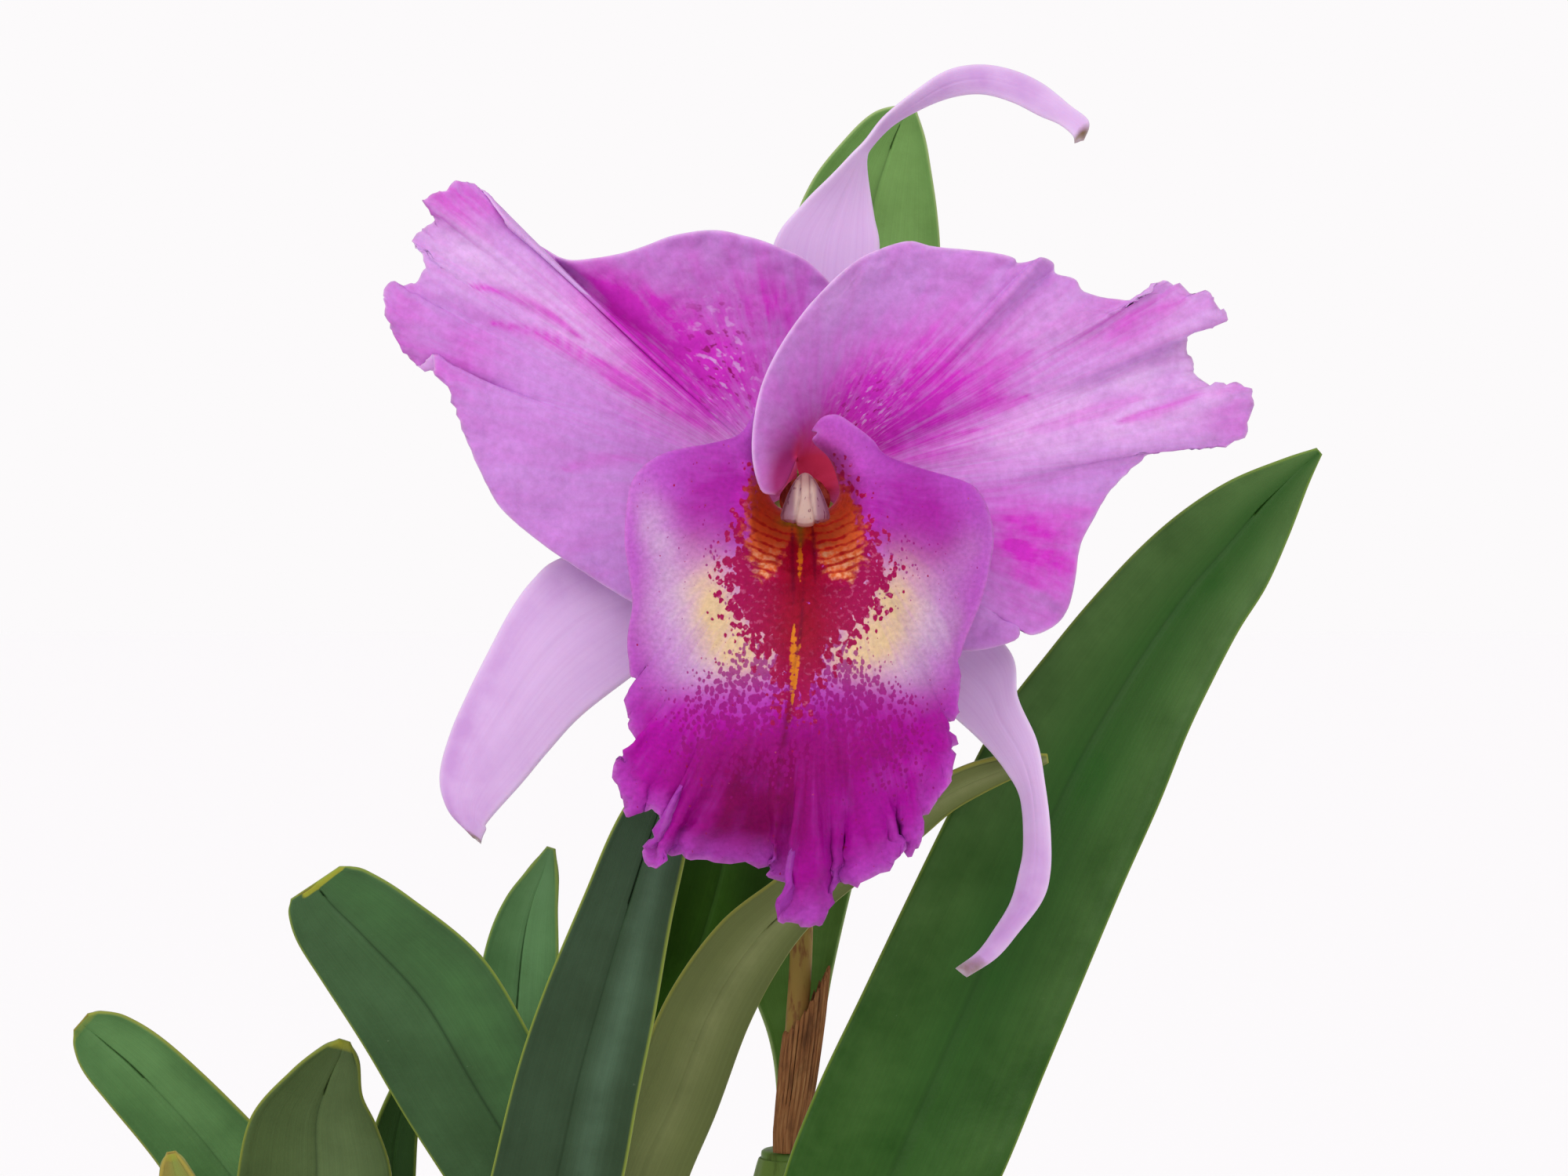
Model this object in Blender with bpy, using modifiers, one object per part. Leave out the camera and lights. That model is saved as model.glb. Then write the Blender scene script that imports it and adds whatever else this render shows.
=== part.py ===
"""A potted cattleya orchid in bloom, at its real size.

One large flower with two petals, three sepals, a ruffled lip and a column stands in front of eleven
leathery leaves. The leaves and the flower stalk stand on pseudobulbs, which a creeping rhizome joins,
and the rhizome lies on bark in a plain clay pot.

The outlines of the flower and the leaves are written as they look from the front, to an eye 700 mm
before the flower: x to the right and z up, in millimetres on the flower's own plane, and how deep each
point lies behind that plane. seen() gives their places in space. World +Z is up, the flower faces -Y,
and the origin is the centre of the pot's foot.
"""

import math
import random

import bmesh
import bpy
import numpy as np
from mathutils import Euler, Matrix, Vector

# Lengths are in millimetres up to the point where a mesh or a curve is made
MM = 0.001
GAP = 0.3

# The eye that the outlines are seen from, and the flower's middle
EYE_X = 40.4
EYE_Z = 358.3
VIEW_DISTANCE = 700
FLOWER_X = 44.0
FLOWER_Z = 374.2

# The pot, its bark and the rhizome that lies on it
POT_HEIGHT = 120
POT_RADIUS = 70
POT_FOOT_RADIUS = 47
POT_WALL = 6
POT_FLOOR = 8
RIM_HEIGHT = 22
RIM_STEP = 5
RIM_TAPER = 0.12
POT_SIDES = 40
POT_EDGE = 1.5
DRAIN_RADIUS = 6
DRAIN_CIRCLE = 24
DRAIN_TURN = 40.5
BARK_TOP = 108
RHIZOME_RADIUS = 4.5
RHIZOME_Z = BARK_TOP + GAP + RHIZOME_RADIUS
ROOT_RADIUS = 1.6

# The flower's pieces round the head of its stalk
HEAD_RADIUS = 5.5
HEAD_DEPTH = 7.0
CLAW_RADIUS = 4.0
CLAW_DEPTH = 6.3
NECK_RADIUS = 7.5
COLUMN_END = -17.0

PETAL_THICKNESS = 0.75
SEPAL_THICKNESS = 0.9
LEAF_THICKNESS = 1.4
SHEATH_THICKNESS = 0.7
LEAF_FOOT_HALF = 3.2
LEAF_FOOT_GAP = 0.55
LEAF_STEPS = (14, 4)
SEPAL_STEPS_ACROSS = 4
STEM_SIDES = 10
ROOT_SIDES = 6
COLUMN_SIDES = 12

# Outlines of the petals, from the claw round the tip and back, x and z from the flower's middle
RIGHT_PETAL = [
    (-6, 1), (-8, 3.5), (-9.5, 9.5), (-8.5, 18.5), (-5.5, 26.5), (0.5, 35.5), (8.5, 43.5), (14, 46.5),
    (19.5, 48), (24, 47), (34, 46), (38.5, 45), (39.5, 44), (42.5, 44.5), (44, 45), (46, 44),
    (46.5, 42), (50, 41), (52, 38.5), (60, 37), (63.5, 38.5), (65.5, 40.5), (68.5, 40), (72, 38.5),
    (75, 38.5), (77, 35.5), (77.5, 33.5), (74.5, 32.5), (70.5, 30.5), (71, 26.5), (72, 24), (75, 21),
    (79.5, 22), (82.5, 20.5), (82.5, 16), (81.5, 12.5), (77.5, 10.5), (69.5, 10.5), (65, 9.5),
    (61.5, 7), (56.5, 2), (53.5, -3), (51, -8), (50, -14.5), (48.5, -20), (46, -23), (42.5, -24.5),
    (40.5, -24), (39.5, -22.5), (39, -25.5), (29.5, -27.5), (24, -23),
]
LEFT_PETAL = [
    (5.5, 32), (6, 36), (5, 40), (0.5, 44.5), (-6, 47.5), (-11, 49), (-16.5, 50), (-24, 49),
    (-32.5, 46), (-41.5, 44.5), (-45, 45), (-47.5, 46.5), (-54, 50.5), (-55.5, 52.5), (-58.5, 56.5),
    (-60, 58), (-62.5, 59), (-65, 58.5), (-67.5, 57), (-70, 56), (-68.5, 53.5), (-68.5, 51.5),
    (-71, 49.5), (-72, 48), (-71, 46.5), (-70, 45), (-70, 42.5), (-72, 40.5), (-75, 39.5), (-76, 40.5),
    (-77.5, 38), (-76.5, 33), (-74.5, 29), (-71.5, 25.5), (-70, 25.5), (-68.5, 27), (-67.5, 23.5),
    (-65, 19.5), (-62.5, 12.5), (-59, 4.5), (-55.5, -1.5), (-48.5, -7.5), (-42, -12), (-32.5, -18),
    (-25.5, -21), (-18, -19),
]

# How deep each petal lies at its neck, halfway out, near its edge and at its edge, at even steps round the outline
RIGHT_DEPTHS = {
    "neck": 1.5,
    "half": [-14, -6, -8, -8, -7, -7, -10, -12, -12],
    "near": [-24, -11, -10, -7, -2, -2, -7, -12, -13],
    "edge": [-27, -14, -9, -3, 3, 2, -4, -8, -12],
}
LEFT_DEPTHS = {
    "neck": 4.8,
    "half": [3, 5, 4, -1, -2, -2, -4, -4, -4],
    "near": [3, 2, 3, 1, 0, 0, -2, -4, -5],
    "edge": [2, -2, 2, 4, 4, 3, 1, -3, -4],
}
# How far out the rings of a petal lie, as a share of the way to its outline, and its steps outwards
PETAL_RINGS = [0, 0.12, 0.5, 0.82, 1]
PETAL_STEPS = 7
# The right petal's inner lobe rises over the column before it hangs down in front of the lip
LOBE_RISE = (1.6, 7.5)
LOBE_SHARE = 0.12

# Outline of the lip, from its upper left corner down round the ruffled lobe to its upper right corner
LIP = [
    (-8.5, 18), (-11.5, 12.5), (-17.5, 10.5), (-21, 10), (-25.5, 9), (-29, 7), (-31.5, 4), (-32.5, 0),
    (-33, -7), (-32, -14.5), (-31.5, -19), (-32.5, -25.5), (-32, -31.5), (-31, -33), (-32.5, -35.5),
    (-32.5, -38.5), (-32, -41), (-31, -44), (-30, -47), (-32.5, -47.5), (-34.5, -48), (-34.5, -51.5),
    (-33, -55.5), (-32, -57.5), (-29.5, -57), (-26.5, -58), (-24.5, -62.5), (-27.5, -63.5),
    (-29.5, -64.5), (-28.5, -66.5), (-27, -67.5), (-25, -65), (-22.5, -65.5), (-18, -66), (-7, -67),
    (-5.5, -67.5), (-5.5, -69.5), (-0.5, -72), (-4.5, -76.5), (-3, -77.5), (1.5, -78), (4, -77),
    (6, -73), (5.5, -71), (7, -70), (9.5, -70.5), (16.5, -67), (18, -64.5), (17.5, -62), (19.5, -65.5),
    (22, -61.5), (22, -58.5), (25.5, -54), (27, -50.5), (28, -46), (28, -43.5), (26, -40.5),
    (28.5, -39.5), (28.5, -35.5), (29, -32.5), (28.5, -29.5), (30, -25), (33, -17.5), (34.5, -11),
    (35, -6), (34, -1.5), (32.5, 1.5), (30, 3.5), (21.5, 6), (15, 8.5), (12.5, 11.5), (8, 15), (6, 16),
    (3.5, 15.5), (1.5, 13),
]
# The lip's tube: angles of its two edges in degrees, its half width, its half height and its depth
LIP_MIDDLE = (0.5, -3)
LIP_TUBE = [
    ((200, 340), 3.9, 3.9, CLAW_DEPTH),
    ((180, 360), 5.2, 5.2, 1),
    ((155, 390), 7.5, 8, -8),
    ((135, 425), 10, 12, -17),
]
LIP_MOUTH = ((120, 445), 11.5, 14)
LIP_MOUTH_DEPTHS = [-17, -25, -31, -35, -37, -38, -37, -35, -31, -25, -19]
LIP_SPREAD_DEPTHS = [-19, -27, -32, -40, -44, -46, -44, -42, -33, -26, -21]
LIP_EDGE_DEPTHS = [-17, -24, -27, -33, -32, -30, -32, -35, -30, -22, -19]
# How far out the lip's rings lie, how far the spread ring lies between mouth and edge, the share of
# the direction of the outline in the way that the tube's points go round, and its steps outwards
LIP_RINGS = [0, 0.1, 0.2, 0.32, 0.45, 0.75, 1]
LIP_SPREAD = 0.55
LIP_BY_DIRECTION = 0.6
LIP_STEPS = 10
LIP_RUFFLES = 11
LIP_RUFFLE_HEIGHT = 2.2

# Sepals from base to tip: the left edge and the right edge as x, z, depth
DORSAL_SEPAL = [
    ((-2, 5.9, 8.5), (2, 5.9, 8.5)),
    ((-6, 20, 9), (8, 20, 9)),
    ((-7, 34.5, 9.5), (13, 34.5, 9.5)),
    ((-5.5, 47.5, 9), (14, 46.5, 11)),
    ((-0.5, 54.5, 8), (13, 52.5, 12)),
    ((5, 60, 6), (12, 58.5, 13)),
    ((9, 64, 5), (11.5, 63, 14)),
    ((11.5, 66.5, 5), (12.5, 65.5, 14)),
    ((15, 71, 6), (16.5, 69.5, 13)),
    ((21, 76, 8), (22, 72.5, 12)),
    ((26.5, 79.5, 9), (27.5, 74.5, 11)),
    ((32.5, 80.5, 10), (33, 75, 10)),
    ((38.5, 79.5, 10), (38.5, 73.5, 9)),
    ((44, 77, 9), (43.5, 71, 8)),
    ((49, 73, 8), (47, 69.5, 7)),
    ((52.5, 70, 7), (49.5, 67.5, 6)),
    ((51.5, 66.5, 6), (50, 66, 6)),
]
LEFT_SEPAL = [
    ((-6, -1.8, 8.5), (-3.8, -5, 8.5)),
    ((-18, -3.5, 7), (-11, -15, 7)),
    ((-32.5, -7, 6), (-21, -24.5, 6)),
    ((-45, -10.5, 5), (-32, -32.5, 4.5)),
    ((-50, -14.5, 4), (-41, -39.5, 3.5)),
    ((-54, -20, 3.5), (-47, -46, 2.5)),
    ((-58, -27.5, 3), (-52, -52, 1.5)),
    ((-61.5, -34.5, 2.5), (-56.5, -57, 1)),
    ((-65, -42.5, 2), (-58.5, -59.5, 1)),
    ((-67, -50.5, 2), (-58.5, -60.5, 1.5)),
    ((-65.5, -56.5, 2), (-59, -61.5, 2)),
    ((-61, -61, 3), (-59.5, -63, 3)),
]
RIGHT_SEPAL = [
    ((3.8, -5, 8.5), (6, -1.8, 8.5)),
    ((9.5, -17.5, 7), (15, -7, 7)),
    ((16.5, -30.5, 4), (27.5, -17.5, 3)),
    ((27.5, -39.5, 1), (38, -27.5, 0)),
    ((33.5, -45, -1), (39.5, -36, -3)),
    ((37.5, -50, -3), (43, -44, -5)),
    ((40, -55, -4), (44.5, -52, -7)),
    ((40.5, -63.5, -5), (45.5, -60.5, -8)),
    ((39.5, -69, -6), (45.5, -68, -8)),
    ((38, -74, -6), (44, -73.5, -8)),
    ((35, -79, -6), (39.5, -79.5, -8)),
    ((32, -83, -6), (35.5, -84, -7)),
    ((28, -86, -6), (30, -87.5, -6)),
]

# Pseudobulbs: foot x and y on the rhizome, top x, y and z, greatest radius, radius of the top
BULBS = {
    "bulb_flowering": ((26, 34), (41.5, 39, 249), 11.5, 5.5),
    "bulb_right": ((36, 6), (44.8, 4, 199), 10.5, 4.2),
    "bulb_middle": ((12, 2), (13.6, 2, 208), 10.5, 4.6),
    "bulb_front": ((-10, -8), (-9.7, -10, 206), 10, 4.2),
    "bulb_left": ((-36, 2), (-51, 10, 198), 10, 4.6),
    "bulb_far_left": ((-28, 30), (-37, 34, 196), 9.5, 4.6),
    "bulb_back": ((0, 32), (-1, 34, 212.5), 10, 4.6),
    "bulb_leafless": ((-54, 16), (-63, 22, 176), 8.5, 2.2),
}
# Share of the height and share of the greatest radius, from foot to top
BULB_PROFILE = [(0.07, 0.46), (0.2, 0.66), (0.38, 0.88), (0.58, 1), (0.76, 0.88), (0.9, 0.62)]
BULB_FOOT_RADIUS = 3.6
BULB_SIDES = 10
# A bulb leans by this power of the share of its height, and narrows to its top over the last of it
BULB_LEAN = 1.3
BULB_NECK = (3, 1.15)

# Leaves: the bulb, where on its top the leaf stands, how far its right edge lies back, how deep its
# fold is, and its midrib from above the foot to the tip as x, z, half width and depth
LEAVES = {
    "leaf_right": ("bulb_right", (0, 0), 2, 0.10, [
        (46.5, 211, 8.5, 5), (50.5, 224, 14, 6), (56.5, 241.5, 18, 8), (63.5, 258, 19, 10),
        (71.5, 276, 18.5, 12), (79.5, 294, 18, 14), (87, 310.5, 17.5, 16), (94.5, 326, 17, 18),
        (102, 339, 15, 20), (108.5, 349, 13.5, 22), (115, 358, 12, 24), (121.5, 365.5, 10.5, 26),
        (128, 373, 7.5, 28), (134.5, 379.5, 3.5, 29), (139, 383.5, 0.8, 30),
    ]),
    "leaf_back": ("bulb_flowering", (0.5, 3), 1, 0.12, [
        (42.5, 266, 3.5, 44), (42.5, 276, 5, 46), (41.5, 287.5, 8, 48), (41, 303.5, 12, 50),
        (42, 315, 14, 52), (45, 336.5, 15.5, 54), (47.5, 358.5, 16.5, 56), (50.5, 380, 16.5, 57),
        (53.5, 401.5, 16, 58), (56, 420, 14, 58), (58.5, 430, 10.5, 57), (61.5, 438, 6.5, 56),
        (63.5, 443.5, 3.5, 55), (64.5, 446.5, 0.8, 54),
    ]),
    "leaf_centre": ("bulb_front", (0, 0), -2, 0.16, [
        (-9, 214, 6, -10), (-7.5, 224, 9, -11), (-4.5, 237, 11.5, -12), (-1, 251.5, 12, -13),
        (2.5, 267.5, 11.5, -13), (6.5, 282, 10.5, -13), (11.5, 299, 8.5, -12), (16, 313, 7, -11),
        (20, 323.5, 4.5, -10), (23, 330, 2.5, -10), (24, 333.5, 0.8, -10),
    ]),
    "leaf_arching": ("bulb_middle", (0.8, 2), 5, -0.2, [
        (12.5, 221, 5.5, 7), (11.5, 235.5, 8, 12), (13.5, 250, 9, 15), (20, 264.5, 8.5, 17),
        (26.5, 280.5, 8, 18), (34, 292.5, 7, 18), (42, 300.5, 5.5, 16), (52, 308.5, 5, 13),
        (62, 315, 4.5, 10), (69.5, 320, 3.5, 8), (76.5, 323.5, 3, 7), (84, 326, 2, 6),
        (89, 327, 0.8, 6),
    ]),
    "leaf_left": ("bulb_middle", (-0.8, -2), -2, 0.12, [
        (12.5, 215.5, 5.5, 0), (8, 224, 9, 0), (1, 237, 12.5, 0), (-7.5, 251.5, 13.5, 1),
        (-17, 267, 14, 2), (-26, 282, 14, 3), (-36.5, 293.5, 11.5, 4), (-42.5, 299.5, 9.5, 5),
        (-45, 302.5, 7.5, 5), (-46, 304, 5.5, 5),
    ]),
    "leaf_far_left": ("bulb_far_left", (-0.5, -2), -1, 0.12, [
        (-35, 207.5, 4.5, 31), (-39.5, 215.5, 6.5, 31), (-45.5, 225.5, 8.5, 31), (-52.5, 237, 10, 30),
        (-60.5, 248.5, 10, 30), (-69, 259, 9, 30), (-78.5, 269, 7.5, 30), (-85, 274.5, 4.5, 31),
        (-89, 278, 1, 32),
    ]),
    "leaf_blunt": ("bulb_left", (1, 2), 2, 0.14, [
        (-49, 208, 5, 12), (-48, 217, 8.5, 13), (-47.5, 227, 12.5, 14), (-46.5, 238.5, 14, 15),
        (-46, 250, 14, 15), (-46, 260, 11.5, 16), (-43.8, 267, 7, 16), (-41.5, 272, 4, 16),
        (-40.5, 275, 1, 16),
    ]),
    "leaf_young": ("bulb_left", (-1, -2), 0, 0.2, [
        (-55, 210.5, 3.5, 7), (-60, 219, 5, 6), (-64.5, 228.5, 6, 5), (-68, 237, 5.5, 5),
        (-70.5, 245.5, 4.5, 5), (-72, 251.5, 2.5, 5), (-72.5, 254.5, 0.8, 5),
    ]),
    "leaf_narrow": ("bulb_far_left", (0.5, 2), 1, 0.14, [
        (-34.5, 215.5, 3, 38), (-33, 227, 4, 40), (-32.5, 238.5, 4.5, 40), (-32, 250, 4.5, 40),
        (-31, 258.5, 4, 40), (-28.5, 267.5, 2.5, 39), (-26, 274.5, 0.8, 38),
    ]),
    "leaf_upright": ("bulb_back", (-0.5, -2), -1, 0.14, [
        (-3, 230, 5.5, 31), (-6, 244, 7, 30), (-8, 258.5, 7.5, 30), (-9, 273, 8, 29),
        (-8.5, 284.5, 7.5, 29), (-7.5, 293.5, 6.5, 29), (-6, 300, 5, 29), (-4, 305.5, 3, 29),
        (-2.5, 310.5, 0.8, 29),
    ]),
    "leaf_shaded": ("bulb_back", (0.5, 2), 1, 0.14, [
        (4, 230, 5, 37), (8, 244, 8, 40), (12, 258.5, 10, 42), (18, 274.5, 11.5, 43),
        (23.5, 289, 12, 44), (28, 303.5, 11, 44), (31, 318, 9, 44), (33.5, 329.5, 5, 44),
        (35, 336, 0.8, 44),
    ]),
}

# The flower stalk above its foot, as x, z, depth and radius; its foot stands on the flowering bulb
STALK_FOOT = (-0.3, -3.5)
STALK_FOOT_RADIUS = 2.2
STALK_UPRIGHT = 4
STALK = [
    (42, 267, 38, 2.2), (42.8, 279, 39.5, 2.2), (43.5, 290, 40, 2.2), (44, 308, 39, 2.2),
    (44.3, 322, 37, 2.3), (44.3, 336, 34.5, 2.4), (44, 350, 31, 2.6), (44, 362, 26, 2.9),
    (44, 369.5, 20, 3.3), (44, 373, 14, 4.2), (44, 374.2, 9.5, HEAD_RADIUS),
    (44, 374.2, HEAD_DEPTH, HEAD_RADIUS),
]
# The papery sheath at the foot of the stalk: radius from foot to rim, rim heights, angles it covers
SHEATH_RADII = [3.3, 3.6, 3.9, 4.1, 4.0]
SHEATH_LOW = 22
SHEATH_HIGH = 35
SHEATH_LEAN = 1.6
SHEATH_ARC = (-150, 150)
SHEATH_STEPS = (12, 5)

# The column from its foot to its end, as x, z, depth and radius, and the cap on its end
COLUMN = [(0, 0, 6.7, 2.6), (0, 0, 1, 3), (0.1, 0, -7, 3.7), (0.2, 0.2, -13, 4.2), (0.3, 0.4, COLUMN_END, 4.2)]
CAP_MIDDLE = (0.3, 0.6)
CAP_HALF = (4.4, 3.4, 4.5)
CAP_WIDTH = 0.82
CAP_TAPER = 0.32

# Feet of the bulbs in the order that the rhizome grew past them
FRONT_SHOOT = ["bulb_leafless", "bulb_left", "bulb_front", "bulb_middle", "bulb_right"]
BACK_SHOOT = ["bulb_leafless", "bulb_far_left", "bulb_back", "bulb_flowering"]
# The way each root leaves the rhizome, in degrees from +X
ROOTS = {
    "bulb_leafless": 0, "bulb_left": 270, "bulb_front": 290, "bulb_middle": 300,
    "bulb_right": 320, "bulb_far_left": 70, "bulb_back": 80, "bulb_flowering": 340,
}
# A root's path from the rhizome: distance out and height
ROOT_PATH = [(0, RHIZOME_Z), (6, 112.5), (10, 111), (13, 105), (14, 92), (15, 78)]
# The first row of the path that lies in the bark's hole, and the hole's room round the root
HOLE_FROM = 2
HOLE_ROOM = 0.5
SHOOT_TIP = 9
SHOOT_TIP_RADIUS = 1.8

CHIPS = 48
CHIP_SIZE = (16, 10, 5)
CHIP_REACH = 50
CHIP_CLEARANCE = 15
CHIP_SPACING = 7
CHIP_TILT = 0.35
CHIP_SINK = 0.5
CHIP_TRIES = 4000
CHIP_SEED = 7


def srgb(code):
    """The linear colour of a hex code such as B4623F."""
    values = [int(code[at : at + 2], 16) / 255 for at in (0, 2, 4)]
    return [v / 12.92 if v <= 0.04045 else ((v + 0.055) / 1.055) ** 2.4 for v in values] + [1]


def look(name, code, roughness):
    """A plain material of one colour."""
    material = bpy.data.materials.new(name)
    material.use_nodes = True
    shader = material.node_tree.nodes["Principled BSDF"]
    shader.inputs["Base Color"].default_value = srgb(code)
    shader.inputs["Roughness"].default_value = roughness
    shader.inputs["Metallic"].default_value = 0
    return material


def place(name, data, material, group):
    """Puts a mesh or a curve in the scene as an object."""
    data.materials.append(material)
    obj = bpy.data.objects.new(name, data)
    group.objects.link(obj)
    return obj


def spline(rows, at):
    """Rows of numbers read as a smooth curve through all of them, where AT runs from 0 to 1."""
    rows = np.asarray(rows, float)
    ends = np.concatenate([[2 * rows[0] - rows[1]], rows, [2 * rows[-1] - rows[-2]]])
    along = np.clip(at, 0, 1) * (len(rows) - 1)
    start = np.minimum(along.astype(int), len(rows) - 2)
    u = (along - start).reshape(along.shape + (1,) * (rows.ndim - 1))
    a, b, c, d = (ends[start + step] for step in range(4))
    return b + 0.5 * u * (c - a + u * (2 * a - 5 * b + 4 * c - d + u * (3 * (b - c) + d - a)))


def seen(points):
    """World places, in millimetres, of points given as seen x, seen z and depth."""
    points = np.asarray(points, float)
    nearness = 1 + points[..., 2] / VIEW_DISTANCE
    x = EYE_X + (points[..., 0] - EYE_X) * nearness
    z = EYE_Z + (points[..., 1] - EYE_Z) * nearness
    return np.stack([x, points[..., 2], z], axis=-1)


def on_flower(points):
    """World places of points measured from the flower's middle."""
    return seen(np.asarray(points, float) + (FLOWER_X, FLOWER_Z, 0))


def blade(name, places, thickness, material, group):
    """A thin curved sheet of even thickness whose middle runs through a grid of places."""
    columns, rows = places.shape[0] - 1, places.shape[1] - 1
    sheet = bmesh.new()
    bmesh.ops.create_grid(sheet, x_segments=columns, y_segments=rows, size=0.5)
    for vert in sheet.verts:
        column = round((vert.co.x + 0.5) * columns)
        row = round((vert.co.y + 0.5) * rows)
        vert.co = Vector(places[column, row]) * MM
    bmesh.ops.triangulate(sheet, faces=sheet.faces)
    mesh = bpy.data.meshes.new(name)
    sheet.to_mesh(mesh)
    sheet.free()
    mesh.shade_smooth()
    obj = place(name, mesh, material, group)
    wall = obj.modifiers.new("thickness", "SOLIDIFY")
    wall.thickness = thickness * MM
    wall.offset = 0
    return obj


def tube(name, rows, sides, material, group):
    """A round stem through rows of x, y, z and radius."""
    curve = bpy.data.curves.new(name, "CURVE")
    curve.dimensions = "3D"
    curve.bevel_depth = MM
    curve.bevel_resolution = sides // 2 - 2
    curve.use_fill_caps = True
    run = curve.splines.new("POLY")
    run.points.add(len(rows) - 1)
    for point, (x, y, z, radius) in zip(run.points, rows):
        point.co = (x * MM, y * MM, z * MM, 1)
        point.radius = radius
    return place(name, curve, material, group)


def meshed(obj):
    """The same object as a plain closed mesh, with its modifiers applied."""
    graph = bpy.context.evaluated_depsgraph_get()
    mesh = bpy.data.meshes.new_from_object(obj.evaluated_get(graph))
    shape = bmesh.new()
    shape.from_mesh(mesh)
    bmesh.ops.remove_doubles(shape, verts=shape.verts, dist=0.001 * MM)
    shape.to_mesh(mesh)
    shape.free()
    solid = bpy.data.objects.new(obj.name, mesh)
    solid.matrix_world = obj.matrix_world
    group = obj.users_collection[0]
    name = obj.name
    bpy.data.objects.remove(obj)
    solid.name = name
    group.objects.link(solid)
    return solid


def keep_largest(mesh):
    """Drops the loose scraps and the sealed pockets that joining leaves, so that one outer skin stays."""
    shape = bmesh.new()
    shape.from_mesh(mesh)
    waiting = set(shape.verts)
    islands = []
    while waiting:
        island = set()
        edge_of = [waiting.pop()]
        while edge_of:
            vert = edge_of.pop()
            island.add(vert)
            near = {edge.other_vert(vert) for edge in vert.link_edges} & waiting
            waiting -= near
            edge_of.extend(near)
        islands.append(island)
    islands.sort(key=len)
    for island in islands[:-1]:
        bmesh.ops.delete(shape, geom=list(island), context="VERTS")
    shape.to_mesh(mesh)
    shape.free()


def fuse(obj, pieces, operation="UNION"):
    """The object joined with, or cut by, a collection of closed meshes, which are then removed."""
    step = obj.modifiers.new("fuse", "BOOLEAN")
    step.operand_type = "COLLECTION"
    step.collection = pieces
    step.operation = operation
    step.solver = "EXACT"
    bpy.context.view_layer.update()
    solid = meshed(obj)
    keep_largest(solid.data)
    for piece in list(pieces.objects):
        bpy.data.objects.remove(piece)
    bpy.data.collections.remove(pieces)
    return solid


def helpers(name):
    """A collection for pieces that only shape another one."""
    group = bpy.data.collections.new(name)
    bpy.context.scene.collection.children.link(group)
    group.hide_render = True
    return group


def turned(name, profile, steps, material, group):
    """A solid turned round the Z axis, from a profile that runs down its outer side."""
    outline = bmesh.new()
    points = [outline.verts.new((radius * MM, 0, z * MM)) for radius, z in profile]
    for upper, lower in zip(points, points[1:]):
        outline.edges.new((upper, lower))
    mesh = bpy.data.meshes.new(name)
    outline.to_mesh(mesh)
    outline.free()
    obj = place(name, mesh, material, group)
    turn = obj.modifiers.new("turn", "SCREW")
    turn.steps = steps
    turn.render_steps = steps
    turn.use_merge_vertices = True
    turn.merge_threshold = 0.00001
    return obj


def fan(rings, knots, rows):
    """A grid of places that spreads from the first ring to the last, at ROWS steps between them."""
    share = np.linspace(0, 1, rows + 1)
    at = np.interp(share, knots, np.linspace(0, 1, len(knots)))
    return np.moveaxis(spline(rings, at), 0, 1)


def ring(flat, depth):
    """Points x, z and depth from flat points and one depth or a list of them at even steps."""
    steps = np.linspace(0, 1, len(flat))
    if np.ndim(depth):
        depth = spline(depth, steps)
    return np.column_stack([flat, np.broadcast_to(depth, len(flat))])


def softened(outline, reach=3):
    """The outline with its notches smoothed away."""
    padded = np.pad(outline, ((reach, reach), (0, 0)), "edge")
    return np.mean([padded[at : at + len(outline)] for at in range(2 * reach + 1)], axis=0)


def petal(name, outline, claw_angles, depths, rise, material, group):
    """A petal that spreads from a narrow claw beside the column to its outline."""
    outline = np.array(outline, float)
    share = np.linspace(0, 1, len(outline))[:, None]
    angle = np.radians(claw_angles[0] + (claw_angles[1] - claw_angles[0]) * share)
    claw = CLAW_RADIUS * np.hstack([np.cos(angle), np.sin(angle)])
    soft = softened(outline)
    lobe = np.clip(1 - share / LOBE_SHARE, 0, 1) ** 1.5 * np.array(rise)
    halfway = PETAL_RINGS[2] * soft + lobe
    neck = halfway / np.linalg.norm(halfway, axis=1, keepdims=True) + claw / CLAW_RADIUS
    neck *= NECK_RADIUS / np.linalg.norm(neck, axis=1, keepdims=True)
    rings = [
        ring(claw, CLAW_DEPTH),
        ring(neck, depths["neck"]),
        ring(halfway, depths["half"]),
        ring(PETAL_RINGS[3] * softened(outline, 1) + PETAL_RINGS[3] * lobe, depths["near"]),
        ring(outline, depths["edge"]),
    ]
    places = fan(np.array(rings), PETAL_RINGS, PETAL_STEPS)
    return blade(name, on_flower(places), PETAL_THICKNESS, material, group)


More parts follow.
